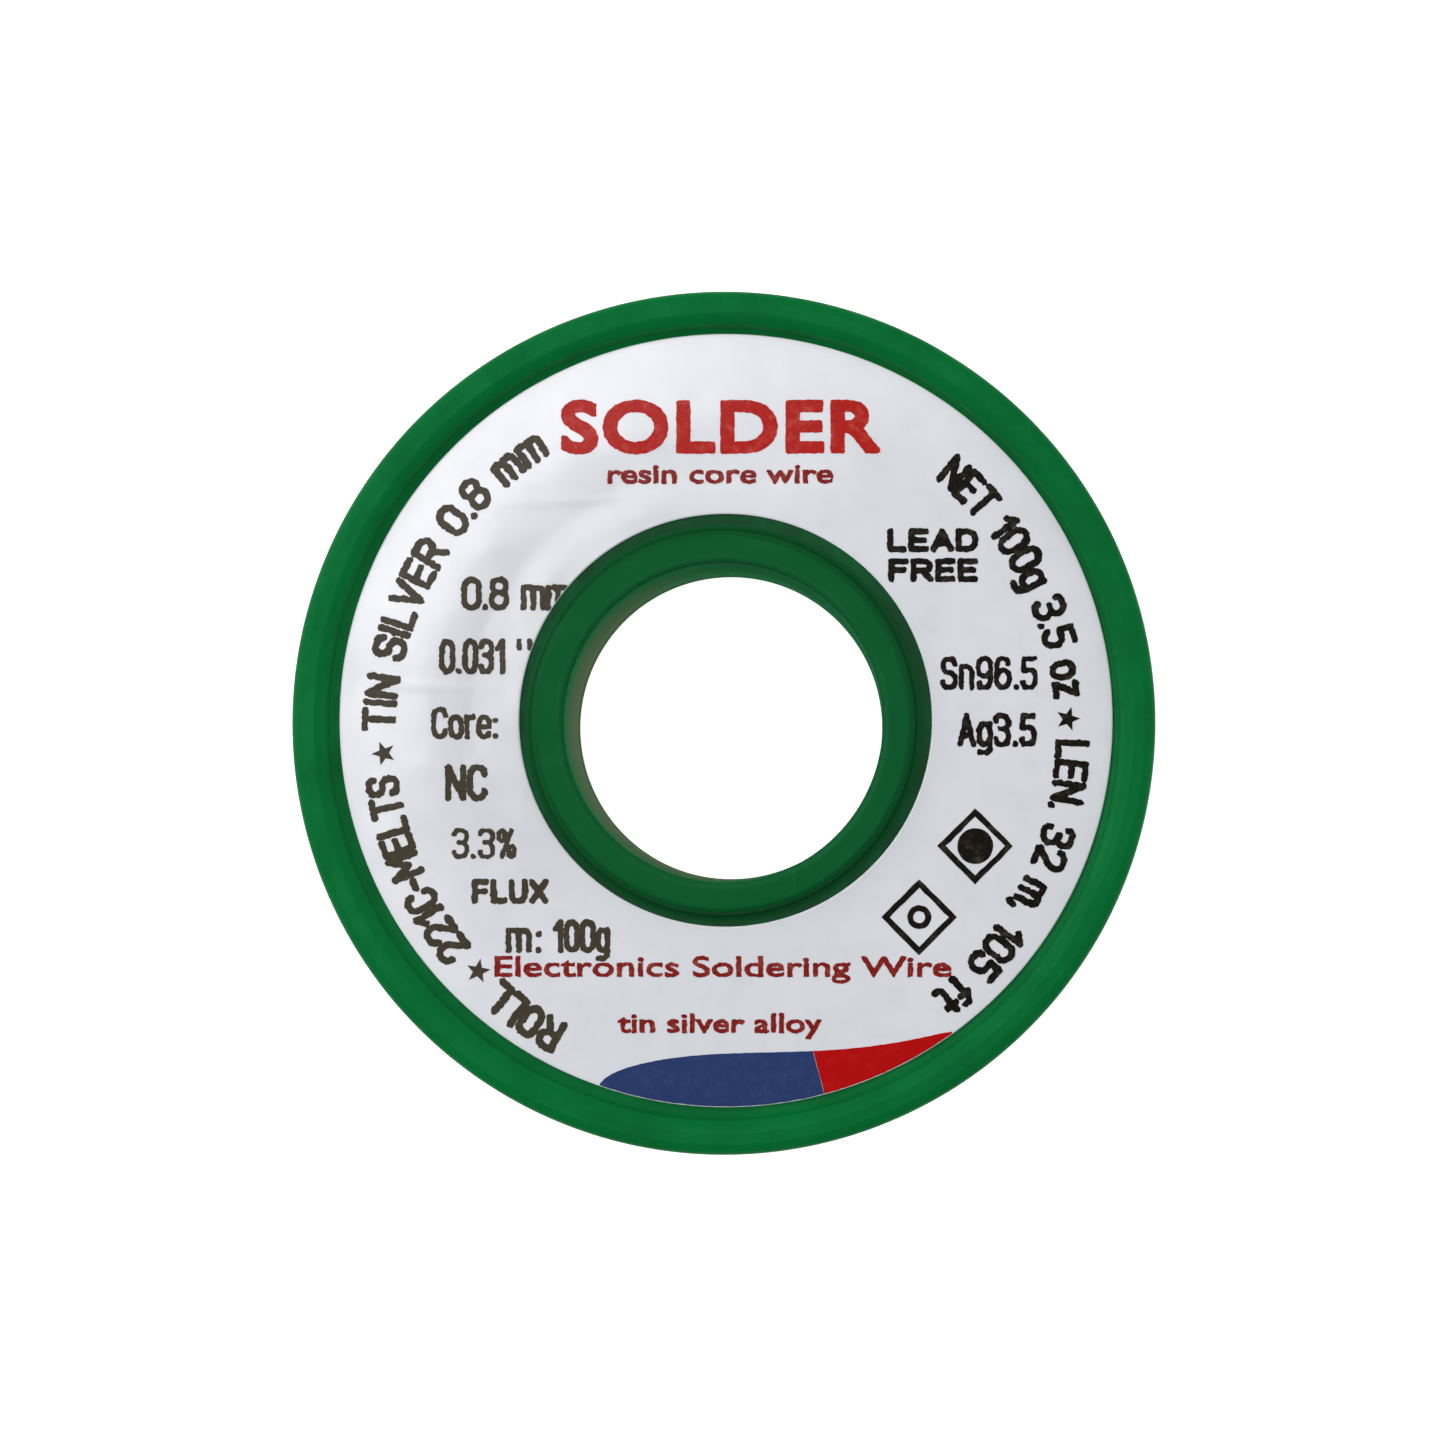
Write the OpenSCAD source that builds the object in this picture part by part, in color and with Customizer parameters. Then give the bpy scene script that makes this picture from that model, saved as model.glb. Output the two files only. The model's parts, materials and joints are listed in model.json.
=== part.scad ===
// Small plastic spool of flux-cored solder wire, lying on its rear face.
// The spool axis is +Z, and the origin is the middle of the face it lies on.
// Two moulded flanges are pressed and welded on to the spigots of a core tube,
// the wire is wound between them, and a ring label is stuck in the front recess.

/* [Spool] */
// Outside diameter of both flanges
spool_od = 56; // [54:1:60]
// Overall width from rim to rim
spool_w = 22; // [18:1:30]
// Diameter of the spindle bore
bore_d = 20.7; // [18:0.1:21]

/* [Flanges] */
// Thickness of the flange web between collar and rim
web_t = 1.6; // [1.4:0.1:2.2]
// Depth of the recess between the rim bead and the collar
recess_depth = 0.95; // [0.9:0.05:1.2]
// Radial width of the rim bead
bead_w = 2.3; // [2:0.1:2.5]
// Crown radius of the rim bead
bead_crown = 2.2; // [2:0.1:3]
// Outside diameter of the collar around the bore
collar_d = 25; // [24.5:0.1:26]
// Rounding of the collar at its outer edge
collar_round_out = 0.5; // [0.2:0.05:0.5]
// Rounding of the collar where it enters the bore
collar_round_in = 0.4; // [0.2:0.05:0.5]
// Fillet at the foot of the bead and of the collar
foot_fillet = 0.25; // [0.1:0.05:0.3]
// Rounding of the rim at the winding side
rim_round = 0.3; // [0.1:0.05:0.4]

/* [Core tube] */
// Outside diameter of the core tube under the winding
core_d = 24; // [23.4:0.1:24]
// Radial wall of the spigots that enter the flanges
spigot_wall = 1; // [0.7:0.1:1.2]
// Length of each spigot
spigot_l = 1.55; // [1:0.05:1.7]

/* [Solder wire] */
// Diameter of the wire
wire_d = 0.8; // [0.5:0.1:0.8]
// Diameter of the flux core inside the wire
flux_d = 0.35; // [0.2:0.05:0.36]
// Outside diameter of the winding
wind_d = 45.4; // [36:0.2:46]
// Clearance between the winding and each flange
side_gap = 0.05; // [0.02:0.01:0.08]
// Diameter of the two wire holes in the rear flange
wire_hole_d = 2; // [1.8:0.1:2]
// Radius at which the free end passes through the rear flange
end_hole_r = 24; // [23.6:0.1:24.2]
// Direction of the hole for the free end
end_hole_a = 205; // [0:5:355]
// Radius at which the inner end passes through the rear flange
start_hole_r = 13.9; // [13.8:0.1:14.2]
// Direction of the hole for the inner end
start_hole_a = 40; // [0:5:355]
// Bend radius of the wire at the holes
wire_bend = 1; // [1:0.05:1.1]

/* [Label] */
// Outside diameter of the label
label_od = 50.2; // [48:0.1:50.2]
// Diameter of the hole in the label
label_id = 26.8; // [26.6:0.1:32]
// Thickness of the label
label_t = 0.12; // [0.08:0.01:0.3]
// Sideways offset of the label as it was stuck on
label_dx = 0.14; // [-0.15:0.01:0.15]
// Upward offset of the label as it was stuck on
label_dy = 0.17; // [-0.17:0.01:0.17]

/* [Hidden] */

SEG = 180;                              // segments of the turned surfaces
ARC = 64;                               // segments of the small profile arcs

R = spool_od / 2;
bore_r = bore_d / 2;
collar_r = collar_d / 2;
core_r = core_d / 2;
spigot_r = bore_r + spigot_wall;
flange_t = web_t + recess_depth;        // thickness over the rim bead
inner_lo = flange_t;                    // winding side of the rear flange
inner_hi = spool_w - flange_t;          // winding side of the front flange

// Rim bead: a crowned land with a narrow flat on top and rounded shoulders.
bead_in = R - bead_w;
bead_cx = R - bead_w / 2 + 0.1;
bead_cz = flange_t + 0.03 - bead_crown;
bead_f = 0.4;                           // shoulder rounding
function shoulder_z(x) = bead_cz + sqrt(pow(bead_crown - bead_f, 2) - pow(x - bead_cx, 2));
function touch_x(x) = bead_cx + (x - bead_cx) * bead_crown / (bead_crown - bead_f);
out_x = R - bead_f;
in_x = bead_in + bead_f;
out_z = shoulder_z(out_x);
in_z = shoulder_z(in_x);

// Wire and winding
rw = wire_d / 2;
turns = floor((inner_hi - inner_lo - 2 * side_gap) / (wire_d + 0.02)); // turns side by side, a little loose
pitch = (inner_hi - inner_lo - 2 * side_gap) / turns;
wind_r = wind_d / 2;
turn_r = wind_r - rw;                   // centre line of the outer layer
under_r = turn_r - 0.867 * wire_d;      // centre line of the layer below it
last_r = turn_r + 0.045;                // centre line of the last turn, which lies a little loose
function turn_z(i) = inner_lo + side_gap + (i + 0.5) * pitch;

// The free end: most of the last turn, a climb to the hole, through it, and along the recess.
z_top = turn_z(0);
z_low = recess_depth - rw - 0.02;
DEG = 180 / PI;
climb_a = 48;
end_a2 = end_hole_a - wire_bend / end_hole_r * DEG;
end_a1 = end_a2 - climb_a;
function smooth(t) = t * t * (3 - 2 * t);
function polar(r, a, z) = [r * cos(a), r * sin(a), z];
function along(a, s, r) = a + s / r * DEG;
end_path = concat(
    [for (i = [0 : 41]) polar(last_r, end_a1 - 300 + i * 300 / 42, z_top)],
    [for (i = [0 : 11]) polar(last_r + (end_hole_r - last_r) * smooth(i / 12), end_a1 + i * climb_a / 12, z_top)],
    [for (t = [0 : 15 : 90]) polar(end_hole_r, along(end_a2, wire_bend * sin(t), end_hole_r), z_top - wire_bend * (1 - cos(t)))],
    [for (t = [0 : 15 : 90]) polar(end_hole_r, along(end_a2, wire_bend * (2 - cos(t)), end_hole_r), z_low + wire_bend * (1 - sin(t)))],
    [for (i = [1 : 9]) polar(end_hole_r + 0.25 * smooth(i / 9), along(end_a2, 2 * wire_bend, end_hole_r) + i * 2.6, z_low)]
);

// The inner end: from the foot of the winding through its hole and along the collar.
start_a2 = start_hole_a + wire_bend / start_hole_r * DEG;
start_path = concat(
    [[start_hole_r * cos(start_hole_a), start_hole_r * sin(start_hole_a), inner_lo + side_gap],
     [start_hole_r * cos(start_hole_a), start_hole_r * sin(start_hole_a), inner_lo - 0.3]],
    [for (t = [0 : 15 : 90]) polar(start_hole_r, along(start_hole_a, wire_bend * (1 - cos(t)), start_hole_r), z_low + wire_bend * (1 - sin(t)))],
    [for (i = [1 : 8]) polar(start_hole_r + 0.3 * smooth(i / 8), start_a2 + i * 4, z_low)]
);

function unit(v) = v / norm(v);
function tangent(p, i) = unit(p[min(i + 1, len(p) - 1)] - p[max(i - 1, 0)]);
function side(p, i) = let (t = tangent(p, i), q = unit([p[i][0], p[i][1], 0])) unit(q - (q * t) * t);
// A path with a short straight stub beyond both ends, for cutting through.
function longer(p, d) = concat([p[0] - d * unit(p[1] - p[0])], p, [p[len(p) - 1] + d * unit(p[len(p) - 1] - p[len(p) - 2])]);

module tube_along(p, r, sides) {
    n = len(p);
    pts = [for (i = [0 : n - 1]) let (t = tangent(p, i), u = side(p, i), v = cross(t, u))
           for (k = [0 : sides - 1]) p[i] + r * (cos(360 * k / sides) * u + sin(360 * k / sides) * v)];
    faces = concat(
        [[for (k = [0 : sides - 1]) k]],
        [for (i = [0 : n - 2], k = [0 : sides - 1]) let (a = i * sides + k, b = i * sides + (k + 1) % sides) [a, a + sides, b]],
        [for (i = [0 : n - 2], k = [0 : sides - 1]) let (a = i * sides + k, b = i * sides + (k + 1) % sides) [b, a + sides, b + sides]],
        [[for (k = [sides - 1 : -1 : 0]) (n - 1) * sides + k]]
    );
    polyhedron(points = pts, faces = faces, convexity = 8);
}

module box2(x0, x1, y0, y1) { translate([x0, y0]) square([x1 - x0, y1 - y0]); }
module dot(x, y, r) { translate([x, y]) circle(r = r, $fn = ARC); }

// Half section of a flange: x is the radius, y runs from the winding side outwards.
module flange_section() {
    difference() {
        union() {
            // web with a rounded rim at the winding side
            box2(bore_r, R - rim_round, 0, web_t);
            box2(R - rim_round - 0.1, R, rim_round, out_z);
            dot(R - rim_round, rim_round, rim_round);
            // collar around the bore
            box2(bore_r, collar_r, 0, flange_t - collar_round_in);
            box2(bore_r + collar_round_in, collar_r - collar_round_out, 0, flange_t);
            dot(bore_r + collar_round_in, flange_t - collar_round_in, collar_round_in);
            box2(collar_r - collar_round_out - 0.05, collar_r, 0, flange_t - collar_round_out);
            dot(collar_r - collar_round_out, flange_t - collar_round_out, collar_round_out);
            // crowned rim bead
            intersection() {
                dot(bead_cx, bead_cz, bead_crown);
                box2(touch_x(in_x), touch_x(out_x), web_t - 0.5, flange_t);
            }
            dot(out_x, out_z, bead_f);
            dot(in_x, in_z, bead_f);
            box2(out_x - 0.2, R, web_t - 0.5, out_z);
            box2(bead_in, in_x + 0.2, web_t - 0.5, in_z);
            // fillets at the foot of the collar and of the bead
            difference() {
                box2(collar_r - 0.1, collar_r + foot_fillet, web_t - 0.1, web_t + foot_fillet);
                dot(collar_r + foot_fillet, web_t + foot_fillet, foot_fillet);
            }
            difference() {
                box2(bead_in - foot_fillet, bead_in + 0.1, web_t - 0.1, web_t + foot_fillet);
                dot(bead_in - foot_fillet, web_t + foot_fillet, foot_fillet);
            }
        }
        // socket for the spigot of the core tube
        box2(0, spigot_r, -1, spigot_l);
    }
}

module flange_body() { rotate_extrude($fn = SEG) flange_section(); }

module wire_hole(r, a) {
    translate([r * cos(a), r * sin(a), -0.5]) cylinder(h = flange_t + 1, r = wire_hole_d / 2, $fn = 48);
}

module core_tube() {
    color([0.02, 0.36, 0.18]) rotate_extrude($fn = SEG) union() {
        box2(bore_r, core_r, inner_lo, inner_hi);
        box2(bore_r, spigot_r, inner_lo - spigot_l, inner_hi + spigot_l);
    }
}

module front_flange() {
    color([0.02, 0.41, 0.2]) translate([0, 0, inner_hi]) flange_body();
}

module rear_flange() {
    color([0.02, 0.41, 0.2]) difference() {
        translate([0, 0, inner_lo]) mirror([0, 0, 1]) flange_body();
        wire_hole(end_hole_r, end_hole_a);
        wire_hole(start_hole_r, start_hole_a);
    }
}

module solder_winding() {
    color([0.76, 0.76, 0.77]) rotate_extrude($fn = SEG) union() {
        box2(core_r, under_r, inner_lo + side_gap, inner_hi - side_gap);
        box2(core_r, turn_r, turn_z(1), turn_z(turns - 1));
        dot(under_r, turn_z(0.5), rw);
        for (i = [1 : turns - 1]) dot(turn_r, turn_z(i), rw);
    }
}

module wire_start_tail() {
    color([0.76, 0.76, 0.77]) difference() {
        tube_along(start_path, rw, 12);
        tube_along(longer(start_path, 0.3), flux_d / 2, 8);
    }
}

module wire_end_tail() {
    color([0.76, 0.76, 0.77]) difference() {
        tube_along(end_path, rw, 12);
        tube_along(longer(end_path, 0.3), flux_d / 2, 8);
    }
}

module flux_core() {
    color([0.72, 0.45, 0.12]) {
        tube_along(start_path, flux_d / 2, 8);
        tube_along(end_path, flux_d / 2, 8);
    }
}

module front_label() {
    color([0.9, 0.91, 0.93])
    translate([label_dx, label_dy, inner_hi + web_t])
    linear_extrude(height = label_t) difference() {
        circle(r = label_od / 2, $fn = SEG);
        circle(r = label_id / 2, $fn = SEG);
    }
}

core_tube();
front_flange();
rear_flange();
solder_winding();
wire_start_tail();
wire_end_tail();
flux_core();
front_label();
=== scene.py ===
import json
import math
import random

import bmesh
import bpy
import numpy as np
from mathutils import Matrix, Vector, noise
from mathutils.geometry import tessellate_polygon

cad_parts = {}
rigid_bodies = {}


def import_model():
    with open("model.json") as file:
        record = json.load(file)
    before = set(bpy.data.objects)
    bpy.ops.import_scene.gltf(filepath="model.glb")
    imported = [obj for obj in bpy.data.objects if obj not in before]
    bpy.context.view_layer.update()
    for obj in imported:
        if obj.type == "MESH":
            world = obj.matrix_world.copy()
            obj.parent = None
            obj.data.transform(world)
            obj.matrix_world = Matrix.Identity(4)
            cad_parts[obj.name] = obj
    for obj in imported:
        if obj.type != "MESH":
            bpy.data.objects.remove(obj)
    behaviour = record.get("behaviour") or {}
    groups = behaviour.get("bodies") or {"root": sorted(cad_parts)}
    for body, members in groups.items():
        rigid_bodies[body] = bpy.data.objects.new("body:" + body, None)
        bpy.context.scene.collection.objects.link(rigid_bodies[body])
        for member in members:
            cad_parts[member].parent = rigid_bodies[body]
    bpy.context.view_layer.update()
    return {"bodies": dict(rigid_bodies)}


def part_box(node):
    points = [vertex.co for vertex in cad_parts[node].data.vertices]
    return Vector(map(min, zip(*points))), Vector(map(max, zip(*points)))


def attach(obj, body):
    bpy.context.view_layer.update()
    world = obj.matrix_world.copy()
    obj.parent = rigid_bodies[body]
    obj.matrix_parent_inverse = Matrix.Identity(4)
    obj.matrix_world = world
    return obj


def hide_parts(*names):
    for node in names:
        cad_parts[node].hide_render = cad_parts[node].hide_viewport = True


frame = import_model()

MM = 0.001
random.seed(41)

# ---------------------------------------------------------------- sizes, in mm, from the frame
f_lo, f_hi = (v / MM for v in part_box("front_flange"))
r_lo, r_hi = (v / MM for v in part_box("rear_flange"))
t_lo, t_hi = (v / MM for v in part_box("core_tube"))
l_lo, l_hi = (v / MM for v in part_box("front_label"))
w_lo, w_hi = (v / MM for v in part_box("solder_winding"))

R = f_hi.x                       # outside radius of the flanges
WIDTH = f_hi.z
IN_HI = f_lo.z                   # winding side of the front flange
IN_LO = r_hi.z                   # winding side of the rear flange
FLANGE_T = WIDTH - IN_HI
RECESS = 0.95
WEB = FLANGE_T - RECESS
BORE = 10.35
COLLAR = 12.5
CORE = t_hi.x
SPIGOT, SPIGOT_L = 11.35, 1.55
BEAD_IN = R - 2.3
CROWN, SHOULDER, INNER_SHOULDER = 2.2, 0.4, 0.5
FOOT, COLLAR_FOOT = 0.5, 0.42
BEAD_CX = R - 2.3 / 2 + 0.1
BEAD_CZ = FLANGE_T + 0.03 - CROWN
WIRE_R = 0.4
TURN_R = w_hi.x - WIRE_R
LABEL_C = ((l_lo.x + l_hi.x) / 2, (l_lo.y + l_hi.y) / 2)
LABEL_R = (l_hi.x - l_lo.x) / 2
LABEL_HOLE = 13.4
LABEL_FLOOR = l_lo.z
LABEL_T = l_hi.z - l_lo.z


# ---------------------------------------------------------------- mesh helpers
def arc(cx, cy, r, a0, a1, n):
    return [(cx + r * math.cos(math.radians(a0 + (a1 - a0) * i / n)), cy + r * math.sin(math.radians(a0 + (a1 - a0) * i / n))) for i in range(n + 1)]


def supported(profile, d=0.05):
    """Adds a point near each end of every long straight stretch, so that smooth shading stays flat there."""
    out = []
    n = len(profile)
    for i, p in enumerate(profile):
        q = profile[(i + 1) % n]
        out.append(p)
        length = math.hypot(q[0] - p[0], q[1] - p[1])
        if length > 0.25:
            for t in (d / length, 1 - d / length):
                out.append((p[0] + (q[0] - p[0]) * t, p[1] + (q[1] - p[1]) * t))
    return out


def build(name, verts, faces, smooth_angle=32.0, scale=MM):
    mesh = bpy.data.meshes.new(name)
    mesh.from_pydata([(x * scale, y * scale, z * scale) for x, y, z in verts], [], faces)
    ob = bpy.data.objects.new(name, mesh)
    bpy.context.scene.collection.objects.link(ob)
    tidy(ob, smooth_angle)
    return ob


def tidy(ob, smooth_angle=32.0):
    bm = bmesh.new()
    bm.from_mesh(ob.data)
    bmesh.ops.remove_doubles(bm, verts=bm.verts, dist=1e-8)
    bmesh.ops.recalc_face_normals(bm, faces=bm.faces)
    limit = math.radians(smooth_angle)
    for e in bm.edges:
        e.smooth = not (len(e.link_faces) == 2 and e.calc_face_angle(0) > limit)
    for f in bm.faces:
        f.smooth = True
    bm.to_mesh(ob.data)
    bm.free()
    ob.data.update()


def lathe(name, profile, seg, smooth_angle=32.0, wobble=None):
    """A closed (r, z) outline turned about Z."""
    verts, faces, n = [], [], len(profile)
    for j in range(seg):
        a = 2 * math.pi * j / seg
        c, s = math.cos(a), math.sin(a)
        for r, z in profile:
            dr, dz = wobble(a, r, z) if wobble else (0, 0)
            verts.append(((r + dr) * c, (r + dr) * s, z + dz))
    for j in range(seg):
        k = (j + 1) % seg
        for i in range(n):
            m = (i + 1) % n
            faces.append((j * n + i, j * n + m, k * n + m, k * n + i))
    return build(name, verts, faces, smooth_angle)


def boolean(ob, cutter, operation="DIFFERENCE", smooth_angle=32.0):
    mod = ob.modifiers.new("cut", "BOOLEAN")
    mod.operation, mod.solver, mod.object = operation, "EXACT", cutter
    dg = bpy.context.evaluated_depsgraph_get()
    mesh = bpy.data.meshes.new_from_object(ob.evaluated_get(dg), depsgraph=dg)
    ob.modifiers.remove(mod)
    old = ob.data
    ob.data = mesh
    bpy.data.meshes.remove(old)
    bpy.data.objects.remove(cutter)
    tidy(ob, smooth_angle)


def join(name, parts):
    bm = bmesh.new()
    for p in parts:
        bm.from_mesh(p.data)
        bpy.data.objects.remove(p)
    mesh = bpy.data.meshes.new(name)
    bm.to_mesh(mesh)
    bm.free()
    ob = bpy.data.objects.new(name, mesh)
    bpy.context.scene.collection.objects.link(ob)
    return ob


# ---------------------------------------------------------------- node helpers
class Mat:
    def __init__(self, name):
        self.m = bpy.data.materials.new(name)
        self.m.use_nodes = True
        self.t = self.m.node_tree
        self.n = self.t.nodes
        self.n.clear()
        self.out = self.n.new("ShaderNodeOutputMaterial")
        self.p = self.n.new("ShaderNodeBsdfPrincipled")
        self.link(self.p.outputs[0], self.out.inputs[0])
        self.co = self.n.new("ShaderNodeTexCoord").outputs["Object"]

    def link(self, a, b):
        self.t.links.new(a, b)

    def put(self, socket, value):
        if hasattr(value, "links"):
            self.link(value, socket)
        elif isinstance(value, (tuple, list)) and len(value) == 3 and socket.type == "RGBA":
            socket.default_value = (*value, 1.0)
        else:
            socket.default_value = value

    def noise(self, scale, detail=3.0, rough=0.5, co=None, dist=0.0):
        x = self.n.new("ShaderNodeTexNoise")
        x.inputs["Scale"].default_value = scale
        x.inputs["Detail"].default_value = detail
        x.inputs["Roughness"].default_value = rough
        x.inputs["Distortion"].default_value = dist
        self.link(co or self.co, x.inputs["Vector"])
        return x.outputs["Fac"]

    def voronoi(self, scale, feature="F1", co=None):
        x = self.n.new("ShaderNodeTexVoronoi")
        x.feature = feature
        x.inputs["Scale"].default_value = scale
        self.link(co or self.co, x.inputs["Vector"])
        return x.outputs["Distance"]

    def math(self, op, a, b=0.0, c=0.0, clamp=False):
        x = self.n.new("ShaderNodeMath")
        x.operation, x.use_clamp = op, clamp
        for i, v in enumerate((a, b, c)):
            if i < len(x.inputs):
                self.put(x.inputs[i], v)
        return x.outputs[0]

    def vmath(self, op, a, b=(0, 0, 0)):
        x = self.n.new("ShaderNodeVectorMath")
        x.operation = op
        self.put(x.inputs[0], a)
        self.put(x.inputs[1], b)
        return x.outputs["Value"] if op in ("LENGTH", "DISTANCE", "DOT_PRODUCT") else x.outputs["Vector"]

    def span(self, v, a, b, c=0.0, d=1.0, smooth=True):
        x = self.n.new("ShaderNodeMapRange")
        x.interpolation_type = "SMOOTHSTEP" if smooth else "LINEAR"
        x.clamp = True
        for i, val in enumerate((v, a, b, c, d)):
            self.put(x.inputs[i], val)
        return x.outputs[0]

    def mix(self, f, a, b, blend="MIX"):
        x = self.n.new("ShaderNodeMix")
        x.data_type, x.blend_type = "RGBA", blend
        self.put(x.inputs[0], f)
        self.put(x.inputs[6], a)
        self.put(x.inputs[7], b)
        return x.outputs[2]

    def split(self, v=None):
        x = self.n.new("ShaderNodeSeparateXYZ")
        self.link(v or self.co, x.inputs[0])
        return x.outputs

    def combine(self, x, y, z):
        n = self.n.new("ShaderNodeCombineXYZ")
        for i, v in enumerate((x, y, z)):
            self.put(n.inputs[i], v)
        return n.outputs[0]

    def bump(self, *layers):
        """layers: (height socket, strength, distance in metres); the last normal goes into the shader's Normal input.
        """
        normal = None
        for height, strength, distance in layers:
            b = self.n.new("ShaderNodeBump")
            b.inputs["Strength"].default_value = strength
            b.inputs["Distance"].default_value = distance
            self.link(height, b.inputs["Height"])
            if normal is not None:
                self.link(normal, b.inputs["Normal"])
            normal = b.outputs[0]
        self.link(normal, self.p.inputs["Normal"])

    def set(self, **kw):
        for k, v in kw.items():
            self.put(self.p.inputs[k.replace("_", " ")], v)


def wear(ob, mat):
    ob.data.materials.clear()
    ob.data.materials.append(mat.m)


def srgb(r, g, b):
    return tuple(c / 255 / 12.92 if c / 255 <= 0.04045 else ((c / 255 + 0.055) / 1.055) ** 2.4 for c in (r, g, b))


# ---------------------------------------------------------------- the stage and the camera
def studio():
    s = 1.6
    floor = build("floor", [(-s, -s, 0), (s, -s, 0), (s, s, 0), (-s, s, 0)], [(0, 1, 2, 3)], scale=1.0)
    floor.location.z = -0.00002
    m = Mat("floor_pale")
    m.set(Base_Color=(0.5, 0.5, 0.5), Roughness=0.9, Specular_IOR_Level=0.1)
    m.set(Emission_Color=(1.0, 1.0, 1.0), Emission_Strength=1.0)
    wear(floor, m)

    world = bpy.data.worlds.new("studio")
    bpy.context.scene.world = world
    world.use_nodes = True
    t = world.node_tree
    t.nodes.clear()
    out = t.nodes.new("ShaderNodeOutputWorld")
    bg = t.nodes.new("ShaderNodeBackground")
    co = t.nodes.new("ShaderNodeTexCoord")
    xyz = t.nodes.new("ShaderNodeSeparateXYZ")
    ramp = t.nodes.new("ShaderNodeValToRGB")
    t.links.new(co.outputs["Generated"], xyz.inputs[0])
    t.links.new(xyz.outputs[2], ramp.inputs[0])
    t.links.new(ramp.outputs[0], bg.inputs[0])
    t.links.new(bg.outputs[0], out.inputs[0])
    el = ramp.color_ramp.elements
    el[0].position, el[0].color = 0.0, (1, 1, 1, 1)
    el[1].position, el[1].color = 0.92, (0.03, 0.03, 0.03, 1)
    e = el.new(0.45)
    e.color = (0.95, 0.95, 0.95, 1)
    e = el.new(0.75)
    e.color = (0.25, 0.25, 0.25, 1)
    # a little brighter from the top of the picture than from its foot
    up = t.nodes.new("ShaderNodeMapRange")
    for i, v in enumerate((None, -1.0, 1.0, 0.53, 1.04)):
        if v is not None:
            up.inputs[i].default_value = v
    t.links.new(xyz.outputs[1], up.inputs[0])
    t.links.new(up.outputs[0], bg.inputs[1])

    def area(name, loc, size, power, colour=(1, 1, 1), aim=(0, 0, 0.011)):
        data = bpy.data.lights.new(name, "AREA")
        data.shape, data.size, data.energy, data.color = "DISK", size, power, colour
        ob = bpy.data.objects.new(name, data)
        ob.location = loc
        ob.rotation_euler = (Vector(aim) - Vector(loc)).to_track_quat("-Z", "Y").to_euler()
        bpy.context.scene.collection.objects.link(ob)

    area("softbox_upper_left", (-0.108, 0.104, 0.642), 0.20, 1.50)
    area("side_left", (-0.46, 0.16, 0.30), 0.30, 1.15)
    area("fill_right", (0.62, 0.05, 0.50), 0.45, 0.95)

    sc = bpy.context.scene
    sc.view_settings.view_transform = "Standard"
    sc.view_settings.look = "None"
    sc.view_settings.exposure = 0.0
    sc.view_settings.gamma = 1.0

    cam = bpy.data.cameras.new("camera")
    ob = bpy.data.objects.new("camera", cam)
    bpy.context.scene.collection.objects.link(ob)
    loc = Vector((0.00965, -0.00646, 0.0216 + 0.365))
    aim = Vector((-0.00003, 0.00001, 0.0216))
    back = (loc - aim).normalized()
    right = Vector((0, 1, 0)).cross(back).normalized()
    up = back.cross(right)
    ob.matrix_world = Matrix.Translation(loc) @ Matrix((right, up, back)).transposed().to_4x4()
    cam.sensor_width = 36.0
    cam.lens = 36.0 * (aim - loc).length / 0.09368
    cam.clip_start, cam.clip_end = 0.01, 20.0
    bpy.context.scene.camera = ob


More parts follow.
